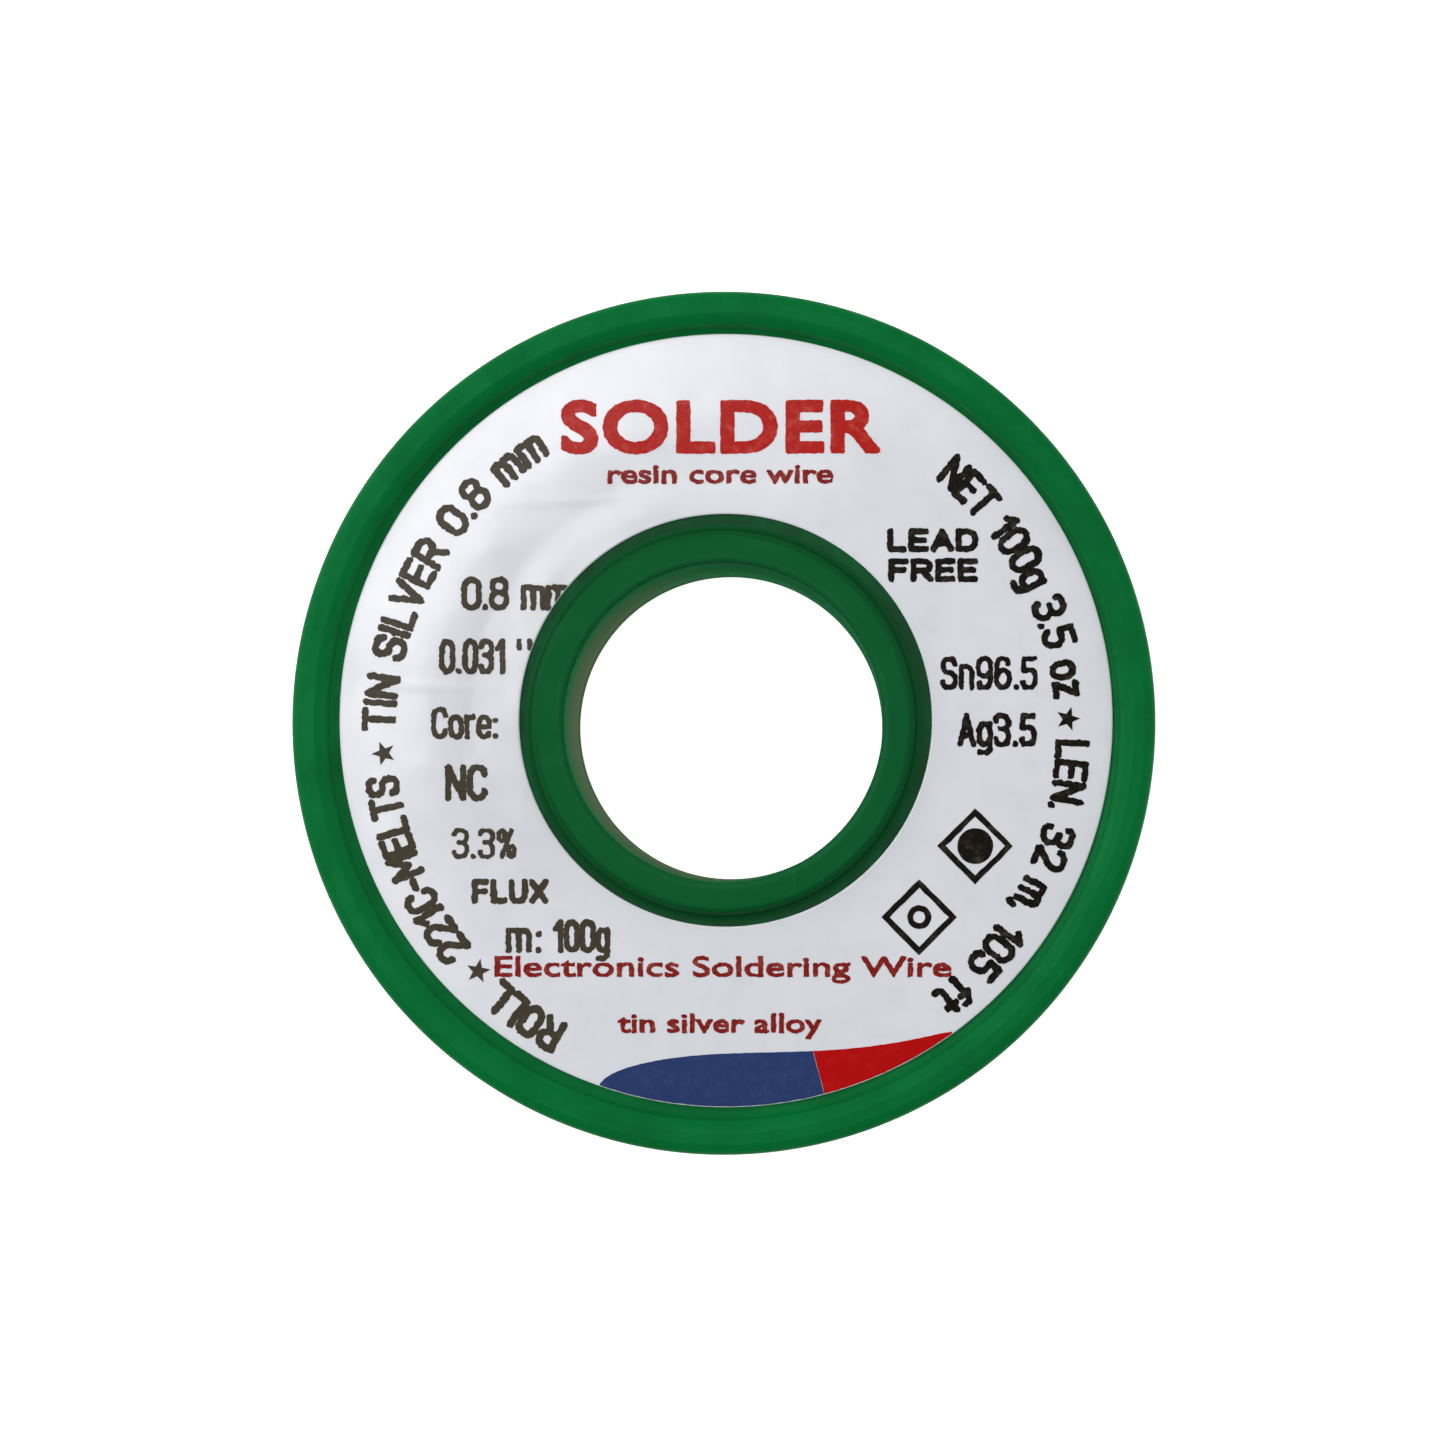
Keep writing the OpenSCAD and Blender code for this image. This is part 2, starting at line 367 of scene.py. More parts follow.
# ---------------------------------------------------------------- materials
def green_plastic(name, base, dark, gloss=0.18, rough_lo=0.44, rough_hi=0.58, bore=False):
    m = Mat(name)
    x, y, z = m.split()[:3]
    flat = m.combine(x, y, 0.0)
    radius = m.vmath("LENGTH", flat)
    mottle = m.noise(260.0, 5.0, 0.6)
    cloud = m.noise(70.0, 2.0, 0.5)
    fine = m.noise(5200.0, 2.0, 0.6)
    grain = m.noise(1500.0, 4.0, 0.6)
    colour = m.mix(m.span(mottle, 0.35, 0.7), base, dark)
    colour = m.mix(m.math("MULTIPLY", m.span(cloud, 0.4, 0.75), 0.25), colour, tuple(c * 1.22 for c in base))
    if bore:
        # a grey-brown tint on the wall, banded round it and stronger on its left, more so away from the mouth: partly
        # dust and partly a painted reflection of the surroundings
        ring = m.noise(1.0, 4.0, 0.6, co=m.combine(m.math("MULTIPLY", x, 90.0), m.math("MULTIPLY", y, 90.0), m.math("MULTIPLY", z, 2400.0)))
        side = m.span(m.math("ADD", m.math("MULTIPLY", x, -1.0), m.math("MULTIPLY", y, -0.30)), -0.004, 0.0085, 0.06, 0.72)
        deep = m.span(z, 0.0208, 0.0125, 0.0, 1.0)
        dust_and_painted_reflection = m.math("MULTIPLY", m.math("MULTIPLY", m.span(radius, 0.01055, 0.01042), m.span(ring, 0.25, 0.62, 0.75, 1.0)), m.math("MULTIPLY", side, deep))
        colour = m.mix(dust_and_painted_reflection, colour, (0.265, 0.262, 0.170))
        # painted shade: the wall is darkened towards the rear end of the bore, deep in the hole
        colour = m.mix(m.span(z, 0.0055, 0.0015, 0.0, 0.45), colour, (0.020, 0.030, 0.018))
    else:
        # the crest and outer shoulder of the rim are drawn a little lighter, partly rubbing wear and partly a painted
        # highlight where the rounding faces the light
        rim = m.math("MULTIPLY", m.span(radius, 0.0268, 0.0277), m.span(grain, 0.42, 0.66))
        # painted shade: the whole collar, inside the label's hole, is drawn darker than the rest of the flange
        colour = m.mix(m.span(radius, 0.0135, 0.0128), colour, tuple(c * 0.70 + 0.0012 for c in dark))
        # the mouth of the bore is tinted a patchy greyer green
        mouth = m.math("MULTIPLY", m.span(radius, 0.01105, 0.0104), m.span(grain, 0.3, 0.7, 0.35, 0.7))
        colour = m.mix(mouth, colour, srgb(26, 92, 54))
        rub_and_painted_highlight = m.math("MULTIPLY", rim, 0.16)
        colour = m.mix(rub_and_painted_highlight, colour, tuple(min(1.0, c * 1.3 + 0.004) for c in base))
        # painted shade: a dark ring round the foot of the collar, where its wall meets the floor
        foot = m.math("MULTIPLY", m.span(radius, 0.01185, 0.01245), m.span(radius, 0.0131, 0.0126))
        colour = m.mix(m.math("MULTIPLY", foot, 0.45), colour, (0.0004, 0.040, 0.008))
        # painted shade and painted reflection: the narrow band of floor beside the collar, and faintly the one beside
        # the bead, is tinted a patchy darker olive
        inner = m.math("MULTIPLY", m.span(radius, 0.01265, 0.0130), m.span(radius, 0.0142, 0.0136))
        outer = m.math("MULTIPLY", m.span(radius, 0.0247, 0.0250), m.span(radius, 0.02575, 0.0255))
        film = m.math("MULTIPLY", m.math("ADD", inner, m.math("MULTIPLY", outer, 0.15)), m.span(mottle, 0.25, 0.6, 0.35, 0.85))
        colour = m.mix(film, colour, srgb(28, 58, 33))
    # a few fine scratches
    streak = m.noise(900.0, 2.0, 0.7, co=m.vmath("MULTIPLY", m.co, (1.0, 0.05, 1.0)))
    scratch = m.math("MULTIPLY", m.span(streak, 0.70, 0.73), 0.10)
    colour = m.mix(scratch, colour, tuple(min(1.0, c * 1.5 + 0.008) for c in base))
    # duller inside the bore
    rough = m.math("MAXIMUM", m.span(mottle, 0.3, 0.7, rough_lo, rough_hi), m.span(radius, 0.01075, 0.01045, 0.0, 0.95))
    m.set(Base_Color=colour, Roughness=rough, IOR=1.5, Specular_IOR_Level=gloss)
    m.p.inputs["Specular Tint"].default_value = (0.25, 1.0, 0.62, 1.0)
    m.bump((fine, 0.10, 0.00002), (grain, 0.12, 0.00004), (cloud, 0.25, 0.00008))
    return m


def gloss_coat(m, weight=0.42):
    m.p.inputs["Coat Weight"].default_value = weight
    m.p.inputs["Coat Roughness"].default_value = 0.16
    m.p.inputs["Coat IOR"].default_value = 1.5


def label_film():
    m = Mat("label_film")
    speck = m.noise(2600.0, 3.0, 0.6)
    cloud = m.noise(110.0, 3.0, 0.5)
    fibre = m.noise(480.0, 4.0, 0.65)
    tint = m.mix(m.span(cloud, 0.35, 0.7), srgb(214, 217, 222), srgb(219, 219, 226))
    tint = m.mix(m.math("MULTIPLY", m.span(fibre, 0.45, 0.75), 0.4), tint, srgb(205, 208, 214))
    x, y, z = m.split()[:3]
    radius = m.vmath("LENGTH", m.combine(x, y, 0.0))
    # painted light: the outer part of the label towards its upper left is drawn paler, for the lamp's falloff and glare
    corner = m.math("MAXIMUM", m.span(x, -0.008, -0.022), m.span(y, 0.012, 0.023))
    pale = m.math("MULTIPLY", corner, m.span(radius, 0.0195, 0.0245))
    # painted shade: the inner part of the label towards its left is drawn greyer, to damp the glare there
    wear_and_painted_shade = m.math("MULTIPLY", m.span(m.math("SUBTRACT", m.math("MULTIPLY", y, 0.4), x), 0.002, 0.014), m.span(radius, 0.0225, 0.0150))
    tint = m.mix(m.math("MULTIPLY", pale, 0.40), tint, srgb(236, 238, 243))
    tint = m.mix(m.math("MULTIPLY", wear_and_painted_shade, 0.5), tint, srgb(190, 193, 198))
    m.set(Base_Color=tint, Roughness=m.span(fibre, 0.3, 0.7, 0.42, 0.55), IOR=1.5, Specular_IOR_Level=0.3)
    gloss_coat(m)
    m.bump((speck, 0.15, 0.00002), (fibre, 0.2, 0.00004))
    return m


def ink(name, colour, light, strength=0.5, wear_and_painted_shade=0.5, left_glare_colour=None):
    """Print under a clear film: the ink has a slightly patchy cover. The last argument gives the ink's colour on the
    label's left, where it is drawn lighter and browner as a painted glare.
    """
    m = Mat(name)
    patch = m.noise(1500.0, 3.0, 0.7)
    dots = m.noise(5200.0, 2.0, 0.6)
    if left_glare_colour:
        # painted glare: the print turns lighter and browner towards the label's left
        x = m.split()[0]
        colour = m.mix(m.span(x, 0.010, -0.009), colour, left_glare_colour)
    f = m.math("MULTIPLY", m.span(patch, 0.46, 0.80), strength)
    g = m.math("MULTIPLY", m.span(dots, 0.5, 0.8), wear_and_painted_shade * 0.5)
    c = m.mix(f, colour, light)
    c = m.mix(g, c, light)
    m.set(Base_Color=c, Roughness=m.span(patch, 0.3, 0.7, 0.45, 0.6), IOR=1.5, Specular_IOR_Level=0.05)
    gloss_coat(m, 0.05)
    m.bump((dots, 0.1, 0.00002))
    return m


def solder_metal(name, uv=True):
    m = Mat(name)
    if uv:
        u = m.n.new("ShaderNodeUVMap")
        u.uv_map = "run"
        along = u.outputs[0]
    else:
        along = m.co
    draw = m.noise(1.0, 3.0, 0.6, co=m.vmath("MULTIPLY", along, (0.35, 9.0, 1.0) if uv else (1500, 1500, 1500)))
    patch = m.noise(0.9 if uv else 300.0, 3.0, 0.5, co=m.vmath("MULTIPLY", along, (0.22, 1.2, 1.0)) if uv else None)
    stain = m.noise(150.0, 4.0, 0.6)
    tint = m.mix(m.span(patch, 0.35, 0.75), (0.60, 0.60, 0.615), (0.47, 0.475, 0.49))
    tint = m.mix(m.math("MULTIPLY", m.span(stain, 0.5, 0.75), 0.5), tint, (0.40, 0.395, 0.385))
    tint = m.mix(m.math("MULTIPLY", m.span(draw, 0.5, 0.7), 0.35), tint, (0.72, 0.72, 0.73))
    rough = m.math("ADD", m.span(draw, 0.3, 0.7, 0.27, 0.40), m.math("MULTIPLY", m.span(stain, 0.5, 0.75), 0.14))
    m.set(Base_Color=tint, Metallic=1.0, Roughness=rough)
    m.bump((draw, 0.25, 0.00002), (stain, 0.1, 0.00004))
    return m


def flux_amber():
    m = Mat("flux_amber")
    n = m.noise(6000.0, 3.0, 0.6)
    m.set(Base_Color=m.mix(m.span(n, 0.35, 0.7), (0.50, 0.22, 0.035), (0.32, 0.12, 0.02)), Roughness=m.span(n, 0.3, 0.7, 0.18, 0.32), IOR=1.52)
    m.bump((n, 0.2, 0.00002))
    return m


# ---------------------------------------------------------------- the moulded spool
def flange_profile():
    """(r, z) from the socket round the winding side, rim, bead, recess and collar; z runs outwards from the winding side."""
    out_x, in_x = R - SHOULDER, BEAD_IN + INNER_SHOULDER
    out_z = BEAD_CZ + math.sqrt((CROWN - SHOULDER) ** 2 - (out_x - BEAD_CX) ** 2)
    in_z = BEAD_CZ + math.sqrt((CROWN - INNER_SHOULDER) ** 2 - (in_x - BEAD_CX) ** 2)
    a_out = math.degrees(math.atan2(out_z - BEAD_CZ, out_x - BEAD_CX))
    a_in = math.degrees(math.atan2(in_z - BEAD_CZ, in_x - BEAD_CX))
    a_flat = math.degrees(math.asin((FLANGE_T - BEAD_CZ) / CROWN))
    p = [(SPIGOT, 0.0)]
    p += arc(R - 0.3, 0.3, 0.3, -90, 0, 8)
    # a faint mould parting step round the rim
    p += [(R, 1.02), (R - 0.035, 1.06), (R - 0.035, 1.16), (R, 1.20)]
    p += arc(out_x, out_z, SHOULDER, 0, a_out, 8)
    p += arc(BEAD_CX, BEAD_CZ, CROWN, a_out, a_flat, 10)[1:]
    p += arc(BEAD_CX, BEAD_CZ, CROWN, 180 - a_flat, a_in, 10)
    # the bead's inner side leans a little and runs into the floor with a wide fillet
    lean = math.radians(158)
    n = (math.cos(lean), math.sin(lean))
    p += arc(in_x, in_z, INNER_SHOULDER, a_in, 158, 8)[1:]
    x1, z1 = in_x + INNER_SHOULDER * n[0], in_z + INNER_SHOULDER * n[1]
    s = (z1 - WEB - FOOT * (1 - n[1])) / n[0] * -1
    x2 = x1 - s * n[1]
    p += arc(x2 + FOOT * n[0], WEB + FOOT, FOOT, 158 - 180, -90, 9)
    p += arc(COLLAR + COLLAR_FOOT, WEB + COLLAR_FOOT, COLLAR_FOOT, -90, -180, 9)
    p += arc(COLLAR - 0.5, FLANGE_T - 0.5, 0.5, 0, 90, 10)
    p += arc(BORE + 0.4, FLANGE_T - 0.4, 0.4, 90, 180, 9)
    p += [(BORE, SPIGOT_L + 0.07), (BORE + 0.07, SPIGOT_L), (SPIGOT, SPIGOT_L)]
    return p


def moulding():
    profile = supported(flange_profile())
    front = lathe("front_flange_moulding", [(r, IN_HI + z) for r, z in profile], 288)
    rear = lathe("rear_flange_moulding", [(r, IN_LO - z) for r, z in profile], 288)

    # wire holes through the rear flange, with lightly broken edges
    for hr, ha in ((END_HOLE_R, END_HOLE_A), (START_HOLE_R, START_HOLE_A)):
        cx, cy = hr * math.cos(math.radians(ha)), hr * math.sin(math.radians(ha))
        rings = [(1.25, RECESS - 0.6), (1.12, RECESS - 0.02), (1.0, RECESS + 0.12), (1.0, IN_LO - 0.12), (1.12, IN_LO + 0.02), (1.25, IN_LO + 0.6)]
        verts, faces, n = [], [], 40
        for r, z in rings:
            verts += [(cx + r * math.cos(2 * math.pi * i / n), cy + r * math.sin(2 * math.pi * i / n), z) for i in range(n)]
        for k in range(len(rings) - 1):
            faces += [(k * n + i, k * n + (i + 1) % n, (k + 1) * n + (i + 1) % n, (k + 1) * n + i) for i in range(n)]
        faces += [tuple(range(n))[::-1], tuple(range((len(rings) - 1) * n, len(rings) * n))]
        boolean(rear, build("cutter", verts, faces))

    # ejector marks and the trimmed gate on the rear recess floor
    def disc(cx, cy, r, z0, z1, n=48, top=1.0):
        verts = [(cx + r * math.cos(2 * math.pi * i / n), cy + r * math.sin(2 * math.pi * i / n), z0) for i in range(n)]
        verts += [(cx + r * top * math.cos(2 * math.pi * i / n), cy + r * top * math.sin(2 * math.pi * i / n), z1) for i in range(n)]
        faces = [(i, (i + 1) % n, n + (i + 1) % n, n + i) for i in range(n)] + [tuple(range(n))[::-1], tuple(range(n, 2 * n))]
        return build("disc", verts, faces)

    for a in (75, 165, 255, 345):
        cx, cy = 19.2 * math.cos(math.radians(a)), 19.2 * math.sin(math.radians(a))
        boolean(rear, disc(cx, cy, 1.6, RECESS - 0.3, RECESS + 0.05))
    a = 300
    boolean(rear, disc(18.4 * math.cos(math.radians(a)), 18.4 * math.sin(math.radians(a)), 0.75, RECESS + 0.25, RECESS - 0.16, 36, 0.8), "UNION")

    tube = [(BORE, IN_LO - SPIGOT_L + 0.07), (BORE, IN_HI + SPIGOT_L - 0.07), (BORE + 0.07, IN_HI + SPIGOT_L), (SPIGOT, IN_HI + SPIGOT_L),
            (SPIGOT, IN_HI), (CORE, IN_HI), (CORE, IN_LO), (SPIGOT, IN_LO), (SPIGOT, IN_LO - SPIGOT_L), (BORE + 0.07, IN_LO - SPIGOT_L)]
    core = lathe("core_tube_moulding", supported(tube), 192)

    base, dark = GREEN, GREEN_DARK
    green = green_plastic("green_plastic", base, dark)
    for ob, node in ((front, "front_flange"), (rear, "rear_flange")):
        wear(ob, green)
        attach(ob, BODY)
        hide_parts(node)
    # the core tube wears a lighter copy of the flange green: painted light for a bore wall that the lamps leave dim
    wear(core, green_plastic("green_plastic_core", (0.010, 0.270, 0.092), (0.008, 0.245, 0.082), 0.004, 0.6, 0.75, bore=True))
    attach(core, BODY)
    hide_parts("core_tube")


# ---------------------------------------------------------------- the wire
END_HOLE_R, END_HOLE_A = 24.0, 205.0
START_HOLE_R, START_HOLE_A = 13.9, 40.0
BEND = 1.0
Z_LOW = RECESS - WIRE_R - 0.02


def smooth(t):
    t = max(0.0, min(1.0, t))
    return t * t * (3 - 2 * t)


def polar(r, a, z):
    return Vector((r * math.cos(a), r * math.sin(a), z))


def sweep(name, path, radius, sides, end_caps=True, pinch=(0, 0), core=0.0):
    """A round tube along a path, with a 'run' UV layer (mm along it, turns around it). pinch flattens the two cut ends."""
    n = len(path)
    run, verts = [0.0], []
    for i in range(1, n):
        run.append(run[-1] + (path[i] - path[i - 1]).length)
    for i in range(n):
        t = (path[min(i + 1, n - 1)] - path[max(i - 1, 0)]).normalized()
        q = Vector((path[i].x, path[i].y, 0)).normalized()
        u = (q - t * q.dot(t)).normalized()
        v = t.cross(u)
        squeeze = 1.0
        if pinch[0] and run[i] < 0.5:
            squeeze = 1 - pinch[0] * (1 - run[i] / 0.5)
        if pinch[1] and run[-1] - run[i] < 0.5:
            squeeze = 1 - pinch[1] * (1 - (run[-1] - run[i]) / 0.5)
        r = radius(i) if callable(radius) else radius
        for k in range(sides):
            a = 2 * math.pi * k / sides
            verts.append(path[i] + u * (r * math.cos(a)) + v * (r * squeeze * math.sin(a)))
    faces = [(i * sides + k, i * sides + (k + 1) % sides, (i + 1) * sides + (k + 1) % sides, (i + 1) * sides + k) for i in range(n - 1) for k in range(sides)]
    for end, order in ((0, -1), (n - 1, 1)):
        ring = [end * sides + k for k in range(sides)]
        if core:
            # the cut face is a ring round a shallow pocket, in which the flux core shows
            t = (path[1] - path[0]).normalized() if end == 0 else (path[-1] - path[-2]).normalized()
            t = t if end == 0 else -t
            mid = path[end]
            base = len(verts)
            for depth in (0.0, 0.3):
                verts += [mid + (verts[j] - mid) * (core / (radius(end) if callable(radius) else radius)) + t * depth for j in ring]
            inner = [base + k for k in range(sides)]
            deep = [base + sides + k for k in range(sides)]
            for k in range(sides):
                m = (k + 1) % sides
                faces.append((ring[k], ring[m], inner[m], inner[k]))
                faces.append((inner[k], inner[m], deep[m], deep[k]))
            faces.append(tuple(deep))
        else:
            faces.append(tuple(ring[::order]))
    mesh = bpy.data.meshes.new(name)
    mesh.from_pydata([tuple(v * MM) for v in verts], [], faces)
    layer = mesh.uv_layers.new(name="run")
    for poly in mesh.polygons:
        row = poly.index // sides
        for c, li in enumerate(poly.loop_indices):
            if row < n - 1:
                k = poly.index % sides
                uu = run[row] if c in (0, 1) else run[row + 1]
                vv = (k + (1 if c in (1, 2) else 0)) / sides
                layer.data[li].uv = (uu, vv)
            else:
                vi = mesh.loops[li].vertex_index
                layer.data[li].uv = (verts[vi].x, verts[vi].y)
    ob = bpy.data.objects.new(name, mesh)
    bpy.context.scene.collection.objects.link(ob)
    bm = bmesh.new()
    bm.from_mesh(mesh)
    bmesh.ops.recalc_face_normals(bm, faces=bm.faces)
    limit = math.radians(50)
    for e in bm.edges:
        e.smooth = not (len(e.link_faces) == 2 and e.calc_face_angle(0) > limit)
    for f in bm.faces:
        f.smooth = True
    bm.to_mesh(mesh)
    bm.free()
    return ob


def end_route():
    """Centre line from the last turn up to the hole, through the rear flange and along its recess."""
    a2 = math.radians(END_HOLE_A) - BEND / END_HOLE_R
    a1 = a2 - math.radians(48)
    z_top = IN_LO + 0.05 + WIRE_R
    last = TURN_R + 0.045
    pts = []
    for i in range(24):
        t = i / 24
        pts.append(polar(last + (END_HOLE_R - last) * smooth(t), a1 + t * (a2 - a1), z_top))
    for i in range(11):
        t = math.radians(90 * i / 10)
        pts.append(polar(END_HOLE_R, a2 + BEND * math.sin(t) / END_HOLE_R, z_top - BEND * (1 - math.cos(t))))
    pts.append(polar(END_HOLE_R, a2 + BEND / END_HOLE_R, (z_top - BEND + Z_LOW + BEND) / 2))
    for i in range(11):
        t = math.radians(90 * i / 10)
        pts.append(polar(END_HOLE_R, a2 + BEND * (2 - math.cos(t)) / END_HOLE_R, Z_LOW + BEND * (1 - math.sin(t))))
    for i in range(1, 19):
        t = i / 18
        pts.append(polar(END_HOLE_R + 0.25 * smooth(t), a2 + 2 * BEND / END_HOLE_R + math.radians(t * 23.4), Z_LOW))
    return a1, z_top, last, pts


def start_route():
    a0 = math.radians(START_HOLE_A)
    pts = [polar(START_HOLE_R, a0, IN_LO + 0.05), polar(START_HOLE_R, a0, IN_LO - 0.3), polar(START_HOLE_R, a0, IN_LO - 0.6)]
    for i in range(11):
        t = math.radians(90 * i / 10)
        pts.append(polar(START_HOLE_R, a0 + BEND * (1 - math.cos(t)) / START_HOLE_R, Z_LOW + BEND * (1 - math.sin(t))))
    for i in range(1, 17):
        t = i / 16
        pts.append(polar(START_HOLE_R + 0.3 * smooth(t), a0 + BEND / START_HOLE_R + math.radians(32 * t), Z_LOW))
    return pts


def winding():
    """One continuous wire: the layer below, the climb at the front flange, the outer layer, the last turn and the free end."""
    a1, z_rear, last, tail = end_route()
    z_front = IN_HI - 0.05 - WIRE_R
    per = 96                                  # rings a turn
    turns = 19                                # spacings in a layer of 20 turns
    slack = (z_front - z_rear) - turns * 2 * WIRE_R
    rnd = random.Random(7)
    weights = [rnd.random() ** 3 + 0.05 for _ in range(turns)]
    weights[6] += 1.6
    weights[13] += 0.9
    total = sum(weights)
    drops = [2 * WIRE_R + slack * w / total for w in weights]
    edge = [z_front]
    for d in drops:
        edge.append(edge[-1] - d)

    def z_outer(t):                           # t in turns from the front flange
        if t >= turns:
            return z_rear
        i = int(t)
        return edge[i] + (edge[i + 1] - edge[i]) * (t - i)

    full = turns + 0.82                       # the last turn lies against the rear flange
    a_start = a1 - 2 * math.pi * full
    path, low_r = [], TURN_R - 0.775
    # the layer below, wound the other way along the axis
    low_turns = 19
    n = int(low_turns * per)
    for i in range(n):
        t = i / per
        a = a_start - 2 * math.pi * (low_turns - t)
        z = z_rear + (z_front - z_rear) * min(1.0, t / (low_turns - 0.4))
        z += 0.02 * noise.noise(Vector((math.cos(a) * 1.7, math.sin(a) * 1.7, t * 0.9)))
        path.append(polar(low_r, a, z))
    # the climb to the outer layer
    n = int(full * per)
    for i in range(n):
        t = i / per
        a = a_start + 2 * math.pi * t
        z = z_outer(t)
        if 0.3 < t < full - 1.0:
            z += 0.012 * noise.noise(Vector((math.cos(a) * 2.3, math.sin(a) * 2.3, t * 0.35 + 9)))
        lift = smooth((t + 0.02) / 0.14)
        r = low_r + (TURN_R - low_r) * lift
        r += 0.012 * noise.noise(Vector((math.cos(a) * 3.1, math.sin(a) * 3.1, t * 0.8 + 4)))
        r += (last - TURN_R) * smooth((t - full + 1.2) / 0.5)
        path.append(polar(r, a, z))
    path += tail
    metal = solder_metal("solder_bright")
    wire = sweep("solder_wire_wound", path, WIRE_R - 0.006, 12, pinch=(0, 0.3), core=0.175)
    wear(wire, metal)
    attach(wire, BODY)
    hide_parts("solder_winding", "wire_end_tail")

    # everything below those two layers
    inner_r = low_r - 0.62
    prof = [(CORE + 0.01, IN_LO + 0.06), (CORE + 0.01, IN_HI - 0.06)]
    k = 20
    step = (IN_HI - IN_LO - 0.12) / k
    bumps = []
    for i in range(k):
        c = IN_HI - 0.06 - step * (i + 0.5)
        bumps += arc(inner_r, c, step / 2, 78, -78, 6)
    prof += bumps
    pack = lathe("solder_inner_layers", prof, 144, smooth_angle=60)
    wear(pack, solder_metal("solder_inner", uv=False))
    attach(pack, BODY)

    route = start_route()
    start = sweep("solder_wire_start", route, WIRE_R - 0.003, 14, pinch=(0, 0.3), core=0.175)
    wear(start, metal)
    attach(start, BODY)
    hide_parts("wire_start_tail")

    # the flux core shows as a dot at each cut end
    amber = flux_amber()
    dots = []
    for pts in (tail, route):
        d = (pts[-1] - pts[-2]).normalized()
        rod = [pts[-1] - d * 0.28, pts[-1] - d * 0.15, pts[-1] - d * 0.05, pts[-1] - d * 0.02]
        dots.append(sweep("dot", rod, lambda i: (0.165, 0.165, 0.165, 0.12)[i], 16))
    flux = join("flux_core_ends", dots)
    for p in flux.data.polygons:
        p.use_smooth = True
    wear(flux, amber)
    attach(flux, BODY)
    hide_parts("flux_core")


# ---------------------------------------------------------------- the label
PX = 0.06483                                   # mm for each unit of the layout grid
GRID = (722.9, 722.6)                          # the spool's axis on the layout grid


def gx(x):
    return (x - GRID[0]) * PX


def gy(y):
    return (GRID[1] - y) * PX


def relief(x, y):
    """Height of the film's surface above its flat, in mm: a soft ring, long ripples and two faint creases."""
    dx, dy = x - LABEL_C[0], y - LABEL_C[1]
    r, a = math.hypot(dx, dy), math.atan2(dy, dx)
    left = (0.5 - 0.5 * math.cos(a)) ** 1.5
    h = 0.040 * left * math.exp(-((r - 19.6) / 1.5) ** 2)
    h -= 0.022 * left * math.exp(-((r - 16.2) / 1.1) ** 2)
    h += (0.008 + 0.030 * left) * noise.noise(Vector((x * 0.17, y * 0.17, 3.1)))
    h += (0.003 + 0.010 * left) * noise.noise(Vector((x * 0.45, y * 0.45, 7.7)))
    for angle, off, size in ((3.0, 1.2, 0.008), (-2.0, 14.6, 0.006)):
        across = math.sin(math.radians(angle)) * dx + math.cos(math.radians(angle)) * dy
        h += size * math.exp(-((across - off) / 0.28) ** 2) * smooth((r - 14) / 3) * smooth((24.5 - r) / 2)
    edge = min(LABEL_R - r, r - LABEL_HOLE)
    return max(-0.03, h) * smooth(edge / 1.2) - 0.02 * (1 - smooth(edge / 0.03))


def label():
    rings = 54
    seg = 480
    rad = [LABEL_HOLE, LABEL_HOLE + 0.015, LABEL_HOLE + 0.03, LABEL_HOLE + 0.12]
    a, b = LABEL_HOLE + 0.25, LABEL_R - 0.25
    rad += [a + (b - a) * i / rings for i in range(rings + 1)]
    rad += [LABEL_R - 0.12, LABEL_R - 0.03, LABEL_R - 0.015, LABEL_R]
    verts, faces = [], []
    for r in rad:
        for j in range(seg):
            t = 2 * math.pi * j / seg
            x, y = LABEL_C[0] + r * math.cos(t), LABEL_C[1] + r * math.sin(t)
            verts.append((x, y, LABEL_FLOOR + LABEL_T + relief(x, y)))
    for r in (LABEL_R, LABEL_HOLE):
        for j in range(seg):
            t = 2 * math.pi * j / seg
            verts.append((LABEL_C[0] + r * math.cos(t), LABEL_C[1] + r * math.sin(t), LABEL_FLOOR + 0.002))
    n = len(rad)
    loops = list(range(n)) + [n, n + 1, 0]
    for p, q in zip(loops, loops[1:]):
        for j in range(seg):
            k = (j + 1) % seg
            faces.append((p * seg + j, q * seg + j, q * seg + k, p * seg + k))
    ob = build("label_film", verts, faces, 40)
    wear(ob, label_film())
    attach(ob, BODY)
    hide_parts("front_label")
    return ob


def glyphs(text, bold=0.0, spacing=1.0):
    """The 2D fill of a string in the built-in font at size 1, as (verts, faces)."""
    cu = bpy.data.curves.new("glyphs", "FONT")
    cu.body, cu.size, cu.offset, cu.space_character, cu.resolution_u = text, 1.0, bold, spacing, 5
    ob = bpy.data.objects.new("glyphs", cu)
    bpy.context.scene.collection.objects.link(ob)
    dg = bpy.context.evaluated_depsgraph_get()
    mesh = bpy.data.meshes.new_from_object(ob.evaluated_get(dg), depsgraph=dg)
    bm = bmesh.new()
    bm.from_mesh(mesh)
    bmesh.ops.remove_doubles(bm, verts=bm.verts, dist=1e-5)
    bmesh.ops.dissolve_degenerate(bm, dist=1e-5, edges=bm.edges)
    bmesh.ops.subdivide_edges(bm, edges=[e for e in bm.edges if e.is_boundary and e.calc_length() > 0.12], cuts=2, use_grid_fill=False)
    bmesh.ops.triangulate(bm, faces=bm.faces)
    bm.verts.ensure_lookup_table()
    bm.verts.index_update()
    verts = [(v.co.x, v.co.y) for v in bm.verts]
    faces = [tuple(v.index for v in f.verts) for f in bm.faces]
    bm.free()
    bpy.data.meshes.remove(mesh)
    bpy.data.objects.remove(ob)
    bpy.data.curves.remove(cu)
    return verts, faces


def cap_height():
    v, _ = glyphs("H")
    return max(p[1] for p in v)


